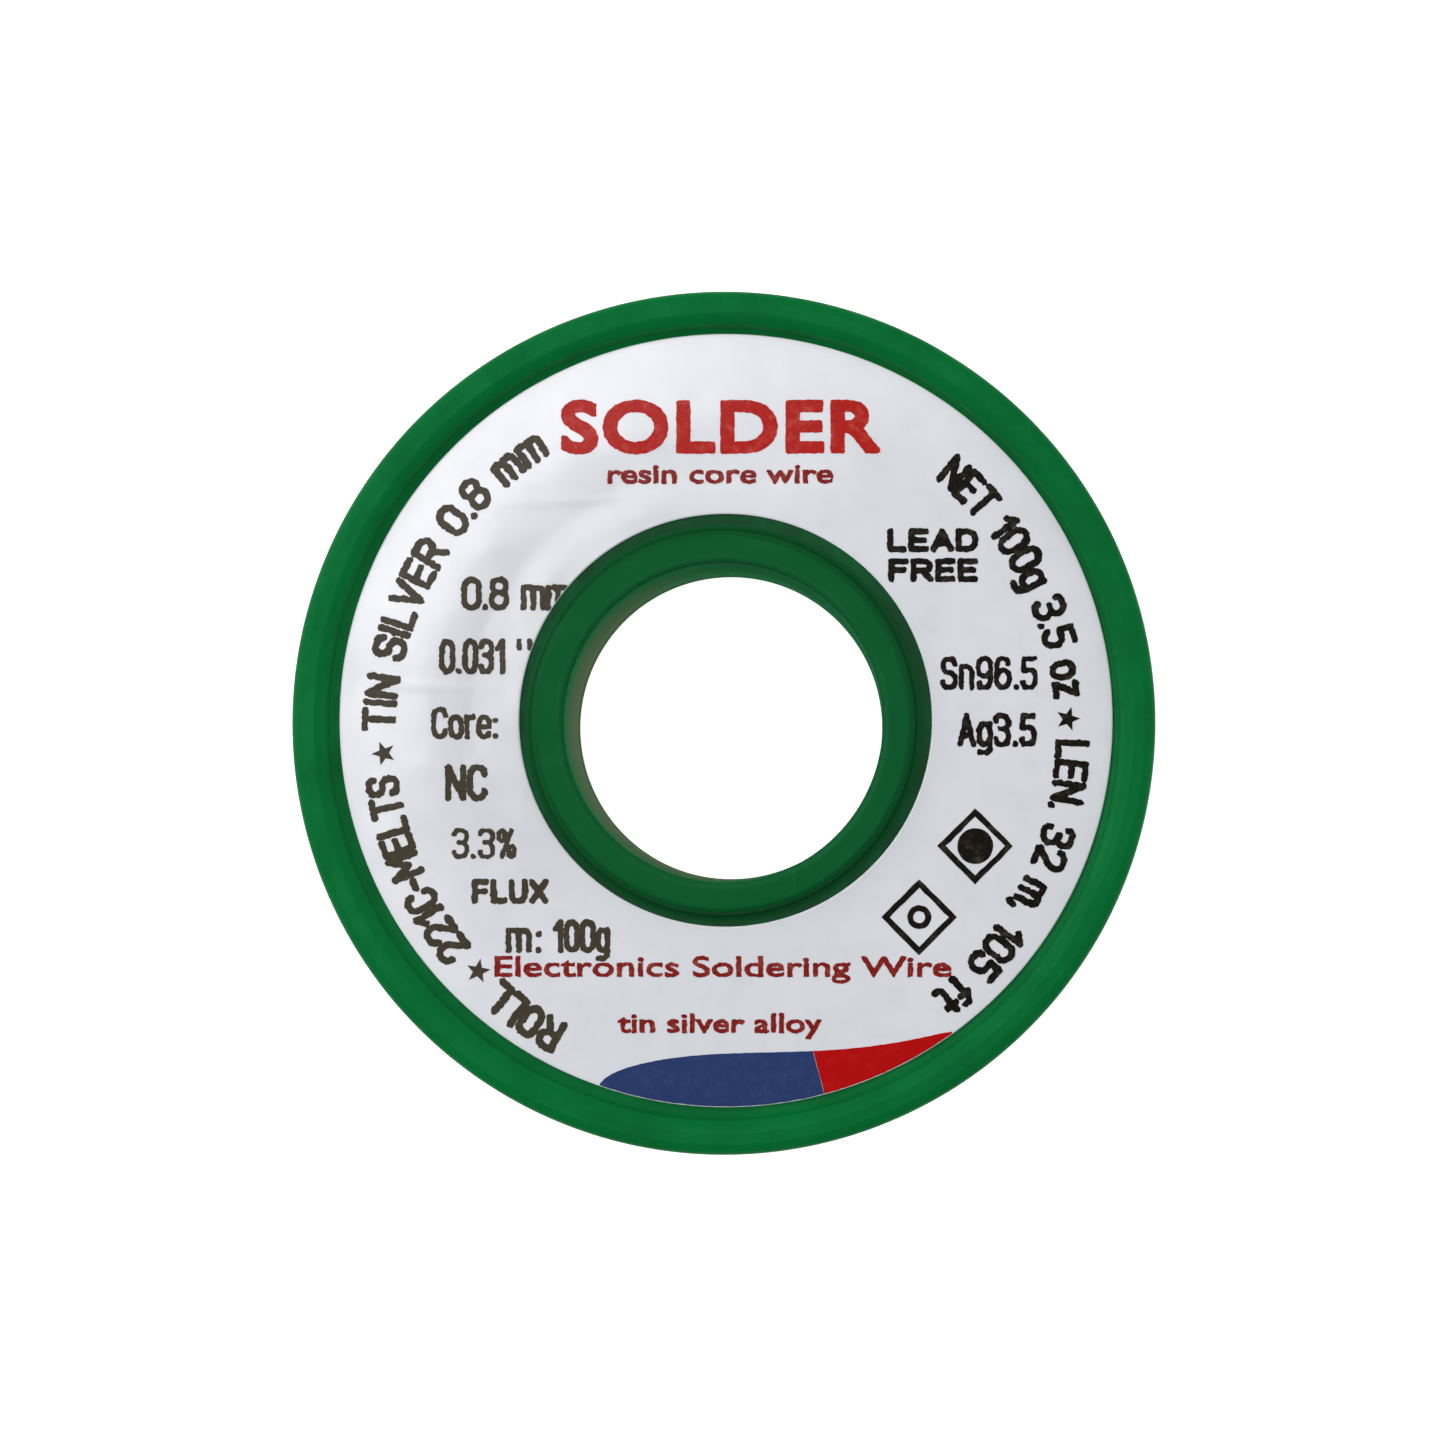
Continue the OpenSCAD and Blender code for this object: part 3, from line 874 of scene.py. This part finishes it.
def printed(name, flat, faces, rough=0.02, up=0.018):
    """Gives flat artwork (mm on the label) its thickness: the top just above the film, the underside inside it."""
    bm = bmesh.new()
    top, low = [], []
    for i, (x, y) in enumerate(flat):
        x += rough * noise.noise(Vector((x * 3.3, y * 3.3, 1.0)))
        y += rough * noise.noise(Vector((x * 3.3, y * 3.3, 5.0)))
        z = LABEL_FLOOR + LABEL_T + relief(x, y)
        top.append(bm.verts.new((x * MM, y * MM, (z + up) * MM)))
        low.append(bm.verts.new((x * MM, y * MM, (z - 0.02) * MM)))
    count = {}
    for f in faces:
        for a, b in zip(f, f[1:] + f[:1]):
            count[(a, b)] = count.get((a, b), 0) + 1
    for f in faces:
        try:
            bm.faces.new([top[i] for i in f])
            bm.faces.new([low[i] for i in reversed(f)])
        except ValueError:
            continue
    for (a, b) in count:
        if (b, a) not in count:
            try:
                bm.faces.new([top[b], top[a], low[a], low[b]])
            except ValueError:
                continue
    bmesh.ops.delete(bm, geom=[v for v in bm.verts if not v.link_faces], context="VERTS")
    bmesh.ops.recalc_face_normals(bm, faces=bm.faces)
    mesh = bpy.data.meshes.new(name)
    bm.to_mesh(mesh)
    bm.free()
    ob = bpy.data.objects.new(name, mesh)
    bpy.context.scene.collection.objects.link(ob)
    return ob


def line(text, x0, x1, base, cap, bold=0.0, spacing=1.0, rough=0.04):
    """Ordinary type from x0 to x1 on the baseline base, with capitals cap units high; bold is extra weight in grid units."""
    v, f = glyphs(text, 0.0, spacing)
    lo, hi = min(p[0] for p in v), max(p[0] for p in v)
    sx = (gx(x1) - gx(x0) - 2 * bold * PX) / (hi - lo)
    sy = (cap - 2 * bold) * PX / CAP
    flat = [(gx(x0) + bold * PX + (x - lo) * sx, gy(base) + bold * PX + y * sy) for x, y in v]
    count = {}
    for t in f:
        for p, q in zip(t, t[1:] + t[:1]):
            count[(p, q)] = True
    segments = [(*flat[p], *flat[q]) for p, q in count if (q, p) not in count]
    loops = contour(segments, bold * PX, rough, 2.2 + len(text), solid=True)
    flat, faces = filled(loops)
    return printed("line", flat, faces, 0.0)


ARC_C = (725.0, 733.9)

# Plain condensed lettering, drawn as centre lines on a 7 unit high body. A point is (x, y) or (x, y, corner radius).
O = [(0, 0), (4, 0), (4, 7), (0, 7)]
GLYPHS = {
    " ": (1.6, []),
    "0": (4, [(O, 2, 1)]),
    "1": (2.2, [([(0.1, 5.3), (2.0, 7), (2.0, 0)], 0, 0)]),
    "2": (4, [([(0, 5.3), (0, 7), (4, 7), (4, 4.1), (0, 0, 0.2), (4.1, 0)], 2, 0)]),
    "3": (4, [([(0, 5.9), (0, 7), (4, 7), (4, 3.8), (1.5, 3.8)], 1.55, 0), ([(1.5, 3.8), (4, 3.8), (4, 0), (0, 0), (0, 1.2)], 1.8, 0)]),
    "5": (4, [([(3.7, 7), (0.3, 7, 0), (0.15, 4.1, 0.2), (4, 4.3), (4, 0), (0, 0), (0, 1.2)], 1.9, 0)]),
    "6": (4, [([(0, 0), (4, 0), (4, 4.2), (0, 4.2)], 1.9, 1), ([(3.7, 5.9), (3.7, 7), (0, 7), (0, 2)], 1.85, 0)]),
    "8": (4, [([(0.2, 3.8), (3.8, 3.8), (3.8, 7), (0.2, 7)], 1.55, 1), ([(0, 0), (4, 0), (4, 3.8), (0, 3.8)], 1.85, 1)]),
    "9": (4, [([(0, 2.8), (4, 2.8), (4, 7), (0, 7)], 1.9, 1), ([(0.3, 1.1), (0.3, 0), (4, 0), (4, 5)], 1.85, 0)]),
    ".": (0.5, [([(0.2, 0), (0.3, 0.1)], 0, 0)]),
    ",": (0.8, [([(0.5, 0.2), (0.1, -1.2)], 0, 0)]),
    ":": (0.5, [([(0.2, 0), (0.3, 0.1)], 0, 0), ([(0.2, 4.1), (0.3, 4.2)], 0, 0)]),
    "-": (2.3, [([(0, 3.2), (2.3, 3.2)], 0, 0)]),
    "%": (5, [([(0, 4.3), (1.8, 4.3), (1.8, 7), (0, 7)], 0.9, 1), ([(0.9, 0), (4.1, 7)], 0, 0), ([(3.2, 0), (5, 0), (5, 2.7), (3.2, 2.7)], 0.9, 1)]),
    '"': (1.5, [([(0.1, 5.5), (0.1, 7)], 0, 0), ([(1.6, 5.5), (1.6, 7)], 0, 0)]),
    "/": (2.6, [([(0, -0.4), (2.6, 7.4)], 0, 0)]),
    "'": (0.4, [([(0.2, 5.0), (0.2, 7)], 0, 0)]),
    "A": (4.3, [([(0, 0), (2.15, 7), (4.3, 0)], 0, 0), ([(0.75, 2.2), (3.55, 2.2)], 0, 0)]),
    "B": (4, [([(0, 0), (0, 7), (3.8, 7, 1.6), (3.8, 3.7, 1.6), (0, 3.7)], 0, 0), ([(0, 3.7), (4, 3.7, 1.8), (4, 0, 1.8), (0, 0)], 0, 0)]),
    "C": (3.9, [([(3.9, 5.4), (3.9, 7), (0, 7), (0, 0), (3.9, 0), (3.9, 1.6)], 1.95, 0)]),
    "D": (4, [([(0, 0, 0), (0, 7, 0), (4, 7), (4, 0)], 2.2, 1)]),
    "E": (3.5, [([(3.5, 7), (0, 7), (0, 0), (3.5, 0)], 0, 0), ([(0, 3.6), (3.1, 3.6)], 0, 0)]),
    "F": (3.5, [([(3.5, 7), (0, 7), (0, 0)], 0, 0), ([(0, 3.6), (3.1, 3.6)], 0, 0)]),
    "G": (4, [([(4, 5.6), (4, 7), (0, 7), (0, 0), (4, 0), (4, 3.3, 0), (2.2, 3.3)], 2, 0)]),
    "H": (4, [([(0, 0), (0, 7)], 0, 0), ([(4, 0), (4, 7)], 0, 0), ([(0, 3.6), (4, 3.6)], 0, 0)]),
    "I": (0.3, [([(0.15, 0), (0.15, 7)], 0, 0)]),
    "K": (4.1, [([(0, 0), (0, 7)], 0, 0), ([(3.9, 7), (0, 2.5)], 0, 0), ([(1.3, 4.0), (4.1, 0)], 0, 0)]),
    "L": (3.3, [([(0, 7), (0, 0), (3.3, 0)], 0, 0)]),
    "M": (5, [([(0, 0), (0, 7), (2.5, 2.4), (5, 7), (5, 0)], 0, 0)]),
    "N": (4, [([(0, 0), (0, 7), (4, 0), (4, 7)], 0, 0)]),
    "O": (4, [(O, 2, 1)]),
    "P": (4, [([(0, 0), (0, 7), (4, 7, 1.9), (4, 3.1, 1.9), (0, 3.1)], 0, 0)]),
    "R": (4.1, [([(0, 0), (0, 7), (4, 7, 1.9), (4, 3.3, 1.9), (0, 3.3)], 0, 0), ([(2.1, 3.3), (4.2, 0)], 0, 0)]),
    "S": (4, [([(3.9, 5.6), (3.9, 7), (0.1, 7), (0.1, 3.7), (4, 3.5), (4, 0), (0, 0), (0, 1.4)], 1.7, 0)]),
    "T": (4, [([(0, 7), (4, 7)], 0, 0), ([(2, 7), (2, 0)], 0, 0)]),
    "U": (4, [([(0, 7), (0, 0), (4, 0), (4, 7)], 2, 0)]),
    "V": (4.2, [([(0, 7), (2.1, 0), (4.2, 7)], 0, 0)]),
    "W": (5.8, [([(0, 7), (1.45, 0), (2.9, 6.2), (4.35, 0), (5.8, 7)], 0, 0)]),
    "X": (4.1, [([(0, 0), (4.1, 7)], 0, 0), ([(0, 7), (4.1, 0)], 0, 0)]),
    "Y": (4.2, [([(0, 7), (2.1, 3.1), (4.2, 7)], 0, 0), ([(2.1, 3.1), (2.1, 0)], 0, 0)]),
    "c": (3.2, [([(3.2, 3.8), (3.2, 5), (0, 5), (0, 0), (3.2, 0), (3.2, 1.2)], 1.6, 0)]),
    "e": (3.5, [([(0, 2.5), (3.5, 2.5, 0), (3.5, 5), (0, 5), (0, 0), (3.4, 0), (3.4, 0.9)], 1.7, 0)]),
    "f": (2.4, [([(2.6, 7), (0.9, 7), (0.9, 0)], 1.2, 0), ([(0, 4.8), (2.4, 4.8)], 0, 0)]),
    "g": (3.5, [([(0, 0), (3.5, 0), (3.5, 5), (0, 5)], 1.7, 1), ([(3.5, 5), (3.5, -2), (0.2, -2)], 1.5, 0)]),
    "m": (5.2, [([(0, 0), (0, 5)], 0, 0), ([(0, 5), (2.6, 5, 1.2), (2.6, 0)], 0, 0), ([(2.6, 5), (5.2, 5, 1.2), (5.2, 0)], 0, 0)]),
    "n": (3.4, [([(0, 0), (0, 5)], 0, 0), ([(0, 5), (3.4, 5, 1.6), (3.4, 0)], 0, 0)]),
    "o": (3.6, [([(0, 0), (3.6, 0), (3.6, 5), (0, 5)], 1.8, 1)]),
    "r": (2.2, [([(0, 0), (0, 5)], 0, 0), ([(0, 3.6), (0, 5), (2.2, 5)], 1.2, 0)]),
    "t": (2.5, [([(0.9, 6.6), (0.9, 0), (2.6, 0)], 1.2, 0), ([(0, 4.9), (2.5, 4.9)], 0, 0)]),
    "z": (3.2, [([(0.1, 5), (3.1, 5), (0, 0), (3.2, 0)], 0, 0)]),
}


def rounded(points, radius, closed):
    """A polyline whose corners are rounded, as a list of Vectors."""
    n, out = len(points), []

    def rad(i):
        i %= n
        if not closed and i in (0, n - 1):
            return 0.0
        return points[i][2] if len(points[i]) > 2 else radius

    for i in range(n):
        q = Vector(points[i][:2])
        if rad(i) <= 0:
            out.append(q)
            continue
        u, v = Vector(points[i - 1][:2]) - q, Vector(points[(i + 1) % n][:2]) - q
        reach = min(u.length * (0.5 if rad(i - 1) > 0 else 1.0), v.length * (0.5 if rad(i + 1) > 0 else 1.0))
        u, v = u.normalized(), v.normalized()
        half = math.acos(max(-1.0, min(1.0, u.dot(v)))) / 2
        cut = min(rad(i) / math.tan(half), reach)
        centre = q + (u + v).normalized() * (cut / math.cos(half))
        a0 = math.atan2(*(q + u * cut - centre).yx)
        a1 = math.atan2(*(q + v * cut - centre).yx)
        turn = (a1 - a0 + math.pi) % (2 * math.pi) - math.pi
        r = cut * math.tan(half)
        out += [centre + Vector((math.cos(a0 + turn * k / 7), math.sin(a0 + turn * k / 7))) * r for k in range(8)]
    if closed:
        out.append(out[0])
    return out


def contour(segments, half_width, rough, seed, solid=False):
    """The outline of thick strokes, in label mm, as closed loops. The ragged edge is that of a dot printer."""
    pad, step = half_width + 0.13, 0.058
    seg = np.array(segments)
    x0, y0 = seg[:, 0::2].min() - pad, seg[:, 1::2].min() - pad
    x1, y1 = seg[:, 0::2].max() + pad, seg[:, 1::2].max() + pad
    nx, ny = int((x1 - x0) / step) + 2, int((y1 - y0) / step) + 2
    gxs, gys = x0 + np.arange(nx) * step, y0 + np.arange(ny) * step
    X, Y = np.meshgrid(gxs, gys)
    field = np.full(X.shape, 9.0)
    for ax, ay, bx, by in segments:
        dx, dy = bx - ax, by - ay
        t = np.clip(((X - ax) * dx + (Y - ay) * dy) / max(dx * dx + dy * dy, 1e-12), 0, 1)
        # squarer ends than a round pen gives
        ex, ey = np.abs(X - ax - t * dx), np.abs(Y - ay - t * dy)
        field = np.minimum(field, (ex ** 2.6 + ey ** 2.6) ** (1 / 2.6))
    if solid:
        odd = np.zeros(X.shape, dtype=bool)
        for ax, ay, bx, by in segments:
            if ay != by:
                odd ^= ((ay > Y) != (by > Y)) & (X < (bx - ax) * (Y - ay) / (by - ay) + ax)
        field = np.where(odd, -field, field)
    field -= half_width
    grain = np.array([[noise.noise(Vector((x * 3.4, y * 3.4, seed))) + 0.7 * noise.noise(Vector((x * 8.2, y * 8.2, seed + 5))) for x in gxs] for y in gys])
    field += rough * grain
    # nothing is printed beyond the film
    rr = np.hypot(X - LABEL_C[0], Y - LABEL_C[1])
    field = np.maximum(field, np.maximum(LABEL_HOLE + 0.05 - rr, rr - (LABEL_R - 0.05)))
    field[0, :] = field[-1, :] = field[:, 0] = field[:, -1] = 1.0
    field = np.where(np.abs(field) < 1e-5, 1e-5, field)
    inside = field < 0

    def cross(j, i, jj, ii):
        a, b = field[j, i], field[jj, ii]
        t = a / (a - b)
        return (gxs[i] + (gxs[ii] - gxs[i]) * t, gys[j] + (gys[jj] - gys[j]) * t)

    nxt, pos = {}, {}
    table = {1: [("l", "b")], 2: [("b", "r")], 3: [("l", "r")], 4: [("r", "t")], 5: [("l", "t"), ("r", "b")], 6: [("b", "t")], 7: [("l", "t")],
             8: [("t", "l")], 9: [("t", "b")], 10: [("t", "r"), ("b", "l")], 11: [("t", "r")], 12: [("r", "l")], 13: [("r", "b")], 14: [("b", "l")]}
    for j, i in zip(*np.nonzero(inside[:-1, :-1] | inside[1:, :-1] | inside[:-1, 1:] | inside[1:, 1:])):
        code = inside[j, i] * 1 + inside[j, i + 1] * 2 + inside[j + 1, i + 1] * 4 + inside[j + 1, i] * 8
        if code == 15:
            continue
        edges = {"b": (j, i, j, i + 1), "r": (j, i + 1, j + 1, i + 1), "t": (j + 1, i, j + 1, i + 1), "l": (j, i, j + 1, i)}
        for a, b in table[int(code)]:
            ka, kb = edges[a], edges[b]
            for k in (ka, kb):
                if k not in pos:
                    pos[k] = cross(*k)
            nxt[ka] = kb
    loops = []
    while nxt:
        k, loop = next(iter(nxt)), []
        while k in nxt:
            loop.append(pos[k])
            k = nxt.pop(k)
        # drop points that hardly move the outline
        keep = [loop[0]]
        for q in loop[1:]:
            if math.hypot(q[0] - keep[-1][0], q[1] - keep[-1][1]) > step * 0.45:
                keep.append(q)
        if len(keep) > 2 and math.hypot(keep[0][0] - keep[-1][0], keep[0][1] - keep[-1][1]) < step * 0.45:
            keep.pop()
        area = sum(a[0] * b[1] - a[1] * b[0] for a, b in zip(keep, keep[1:] + keep[:1])) / 2
        if len(keep) > 5 and abs(area) > 0.004:
            # a hair off the grid, so that no three points lie on one line
            loops.append([(x + 3e-4 * math.sin(61 * y), y + 3e-4 * math.sin(57 * x)) for x, y in keep])
    return loops


def signed_area(loop):
    return sum(a[0] * b[1] - a[1] * b[0] for a, b in zip(loop, loop[1:] + loop[:1])) / 2


def holds(loop, p):
    odd = False
    for (ax, ay), (bx, by) in zip(loop, loop[1:] + loop[:1]):
        if (ay > p[1]) != (by > p[1]) and p[0] < (bx - ax) * (p[1] - ay) / (by - ay) + ax:
            odd = not odd
    return odd


def filled(loops):
    """Triangles for a set of outlines, each outer one with the holes inside it."""
    areas = [signed_area(loop) for loop in loops]
    way = 1 if max(areas, key=abs) > 0 else -1
    outers = [i for i, v in enumerate(areas) if v * way > 0]
    flat, faces = [], []
    for i in outers:
        group = [loops[i]]
        for j, v in enumerate(areas):
            if v * way < 0 and holds(loops[i], loops[j][0]):
                inside = [k for k in outers if k != i and abs(areas[k]) < abs(areas[i]) and holds(loops[k], loops[j][0])]
                if not inside:
                    group.append(loops[j])
        tris = tessellate_polygon([[Vector((x, y, 0)) for x, y in loop] for loop in group])
        base = len(flat)
        flat += [q for loop in group for q in loop]
        for t in tris:
            (ax, ay), (bx, by), (cx, cy) = (flat[base + k] for k in t)
            area = (bx - ax) * (cy - ay) - (by - ay) * (cx - ax)
            if area:
                k = (base + t[0], base + t[1], base + t[2])
                faces.append(k if area > 0 else (k[0], k[2], k[1]))
    return flat, faces


def lettered(text, place, half_width, rough, gap=1.75):
    """Stroke text, laid out along x in glyph units and placed by a function that gives mm on the label."""
    total = sum(GLYPHS[c][0] + gap for c in text) - gap
    x, parts = 0.0, []
    for count, c in enumerate(text):
        width, strokes = GLYPHS[c]
        segments = []
        for points, radius, closed in strokes:
            line_pts = rounded(points, radius, closed)
            dense = []
            for a, b in zip(line_pts, line_pts[1:]):
                m = max(1, int((b - a).length / 1.2))
                dense += [a + (b - a) * k / m for k in range(m)]
            dense.append(line_pts[-1])
            q = [place((x + d.x) / total, d.y / 7) for d in dense]
            segments += [(*a, *b) for a, b in zip(q, q[1:])]
        if segments:
            loops = contour(segments, half_width, rough, 3.7 * count + len(text))
            if loops:
                flat, faces = filled(loops)
                parts.append(printed("glyph", flat, faces, 0.0))
        x += width + gap
    return parts


def stroke_line(text, x0, x1, base, cap, pen, rough=0.065, gap=1.75):
    """Stroke text between x0 and x1 on the baseline base; cap and pen are the capitals' height and the stroke's width in grid units."""
    h = pen / 2

    def place(u, v):
        return (gx(x0 + h + u * (x1 - x0 - pen)), gy(base - h - v * (cap - pen)))
    return lettered(text, place, h * PX, rough, gap)


def stroke_curved(text, a0, a1, base_r, cap, pen, rough=0.075, gap=1.75):
    """Stroke text along a circle, from a0 to a1 degrees, tops outwards."""
    h = pen / 2
    cx, cy = gx(ARC_C[0]), gy(ARC_C[1])

    def place(u, v):
        a = math.radians(a0 + (a1 - a0) * u)
        r = (base_r + h + v * (cap - pen)) * PX
        return (cx + r * math.cos(a), cy + r * math.sin(a))
    return lettered(text, place, h * PX, rough, gap)


def outline(points, width):
    """A closed band of the given width round a convex polygon, as flat artwork."""
    cx = sum(p[0] for p in points) / len(points)
    cy = sum(p[1] for p in points) / len(points)
    r = math.hypot(points[0][0] - cx, points[0][1] - cy)
    k = 1 - width / r
    inner = [(cx + (x - cx) * k, cy + (y - cy) * k) for x, y in points]
    n = len(points)
    sub, flat, faces = 6, [], []
    for ring in (points, inner):
        for i in range(n):
            for s in range(sub):
                t = s / sub
                x = ring[i][0] + (ring[(i + 1) % n][0] - ring[i][0]) * t
                y = ring[i][1] + (ring[(i + 1) % n][1] - ring[i][1]) * t
                flat.append((x, y))
    m = n * sub
    for i in range(m):
        j = (i + 1) % m
        faces.append((i, j, m + j, m + i))
    return flat, faces


def polygon(points):
    cx = sum(p[0] for p in points) / len(points)
    cy = sum(p[1] for p in points) / len(points)
    n = len(points)
    return list(points) + [(cx, cy)], [(i, (i + 1) % n, n) for i in range(n)]


def star(cx, cy, r, turn):
    pts = []
    for i in range(10):
        a = math.radians(turn + 36 * i)
        q = r if i % 2 == 0 else r * 0.42
        pts.append((cx + q * math.cos(a), cy + q * math.sin(a)))
    return polygon(pts)


def artwork():
    black, head, red, blue = [], [], [], []
    # headline and the lines of ordinary type
    head.append(line("SOLDER", 560, 880, 453, 54, bold=3.2, spacing=1.1, rough=0.045))
    red.append(line("resin core wire", 607, 833, 483, 20, bold=0.9, rough=0.05))
    red.append(line("Electronics Soldering Wire", 494, 951, 977, 21, bold=0.75, rough=0.05))
    red.append(line("tin silver alloy", 617, 822, 1033, 20, bold=0.9, rough=0.05))

    # left column
    black += stroke_line("0.8 mm", 460, 570, 610, 34, 6.0, gap=1.5)
    black += stroke_line("0.031", 438, 505, 674, 36, 5.8, gap=2.1)
    black += stroke_line('"', 515, 531, 674, 36, 5.4)
    black += stroke_line("Core:", 430, 498, 739, 33, 5.4, gap=1.9)
    black += stroke_line("NC", 444, 487, 801, 37, 6.4)
    black += stroke_line("3.3%", 451, 516, 859, 31, 4.7, gap=1.9)
    black += stroke_line("FLUX", 471, 548, 904, 25, 6.2, gap=2.3)
    black += stroke_line("m:", 505, 542, 953, 33, 6.0, gap=2.2)
    black += stroke_line("100g", 552, 610, 953, 34, 5.8, gap=1.9)
    # right column
    black += stroke_line("LEAD", 887, 978, 552, 24, 6.3, gap=1.9, rough=0.05)
    black += stroke_line("FREE", 888, 978, 582, 24, 6.3, gap=1.9, rough=0.05)
    black += stroke_line("Sn96.5", 940, 1038, 690, 34, 5.2, gap=2.0)
    black += stroke_line("Ag3.5", 957, 1037, 747, 34, 5.8, gap=2.0)

    # the two curved lines
    black += stroke_curved("ROLL", 241, 228, 330, 35, 7.2)
    black += stroke_curved("221C-MELTS", 219.5, 187.5, 330, 35, 6.9)
    black += stroke_curved("TIN SILVER 0.8 mm", 179, 122.5, 330, 35, 7.0)
    black += stroke_curved("NET 100g 3.5 oz", 50, 6.5, 330, 35, 6.6)
    black += stroke_curved("LEN. 32 m, 105 ft", -1.5, -51, 330, 35, 6.7)
    cx, cy = gx(ARC_C[0]), gy(ARC_C[1])
    for a in (223.8, 183.2, 2.5):
        r = 343 * PX
        flat, faces = star(cx + r * math.cos(math.radians(a)), cy + r * math.sin(math.radians(a)), 12.5 * PX, a)
        black.append(printed("star", flat, faces, 0.02))

    # two plain diamonds
    for (x, y) in ((975, 846), (919, 917)):
        h = 38
        pts = [(gx(x + h), gy(y)), (gx(x), gy(y - h)), (gx(x - h), gy(y)), (gx(x), gy(y + h))]
        flat, faces = outline(pts, 6.0 * PX * 1.414)
        black.append(printed("diamond", flat, faces, 0.06))
    flat, faces = polygon([(gx(975) + 18 * PX * math.cos(i * math.pi / 12), gy(846) + 18 * PX * math.sin(i * math.pi / 12)) for i in range(24)])
    black.append(printed("dot", flat, faces, 0.03))
    pts = [(gx(919) + 12 * PX * math.cos(i * math.pi / 12), gy(917) + 12 * PX * math.sin(i * math.pi / 12)) for i in range(24)]
    flat, faces = outline(pts, 6.0 * PX)
    black.append(printed("ring", flat, faces, 0.03))

    # a plain crescent along the lower edge, blue on the left and red on the right
    def crescent(a0, a1, n):
        rows, flat, faces = 6, [], []
        for i in range(n + 1):
            a = a0 + (a1 - a0) * i / n
            deep = 0.09 + 3.35 * math.sin(math.pi * ((a + 109) / 55) ** 0.72) ** 0.85
            for k in range(rows + 1):
                r = LABEL_R - 0.05 - deep * (1 - k / rows)
                flat.append((LABEL_C[0] + r * math.cos(math.radians(a)), LABEL_C[1] + r * math.sin(math.radians(a))))
        for i in range(n):
            for k in range(rows):
                p, q = i * (rows + 1) + k, (i + 1) * (rows + 1) + k
                faces.append((p, p + 1, q + 1, q))
        return flat, faces

    flat, faces = crescent(-108.99, -75.2, 84)
    blue.append(printed("crescent", flat, faces, 0.02))
    flat, faces = crescent(-75.14, -54.01, 56)
    bright = [printed("crescent", flat, faces, 0.02)]

    for name, parts, mat in (
        ("label_print_black", black, ink("ink_black", srgb(14, 9, 3), srgb(88, 80, 66), 0.45, 0.3, srgb(64, 56, 44))),
        ("label_print_headline", head, ink("ink_red", srgb(172, 22, 14), srgb(204, 96, 88), 0.5, 0.35)),
        ("label_print_red", red, ink("ink_dark_red", srgb(124, 22, 18), srgb(176, 92, 86), 0.5, 0.35)),
        ("label_print_bright", bright, ink("ink_bright_red", srgb(176, 2, 2), srgb(188, 44, 40), 0.25, 0.15)),
        ("label_print_blue", blue, ink("ink_blue", srgb(38, 56, 104), srgb(72, 86, 128), 0.35, 0.2)),
    ):
        ob = join(name, parts)
        wear(ob, mat)
        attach(ob, BODY)
        print(name, len(ob.data.polygons))


# ---------------------------------------------------------------- build
BODY = list(frame["bodies"])[0]
GREEN = (0.0003, 0.134, 0.0255)
GREEN_DARK = (0.0002, 0.112, 0.021)
CAP = cap_height()

studio()
moulding()
winding()
label()
artwork()
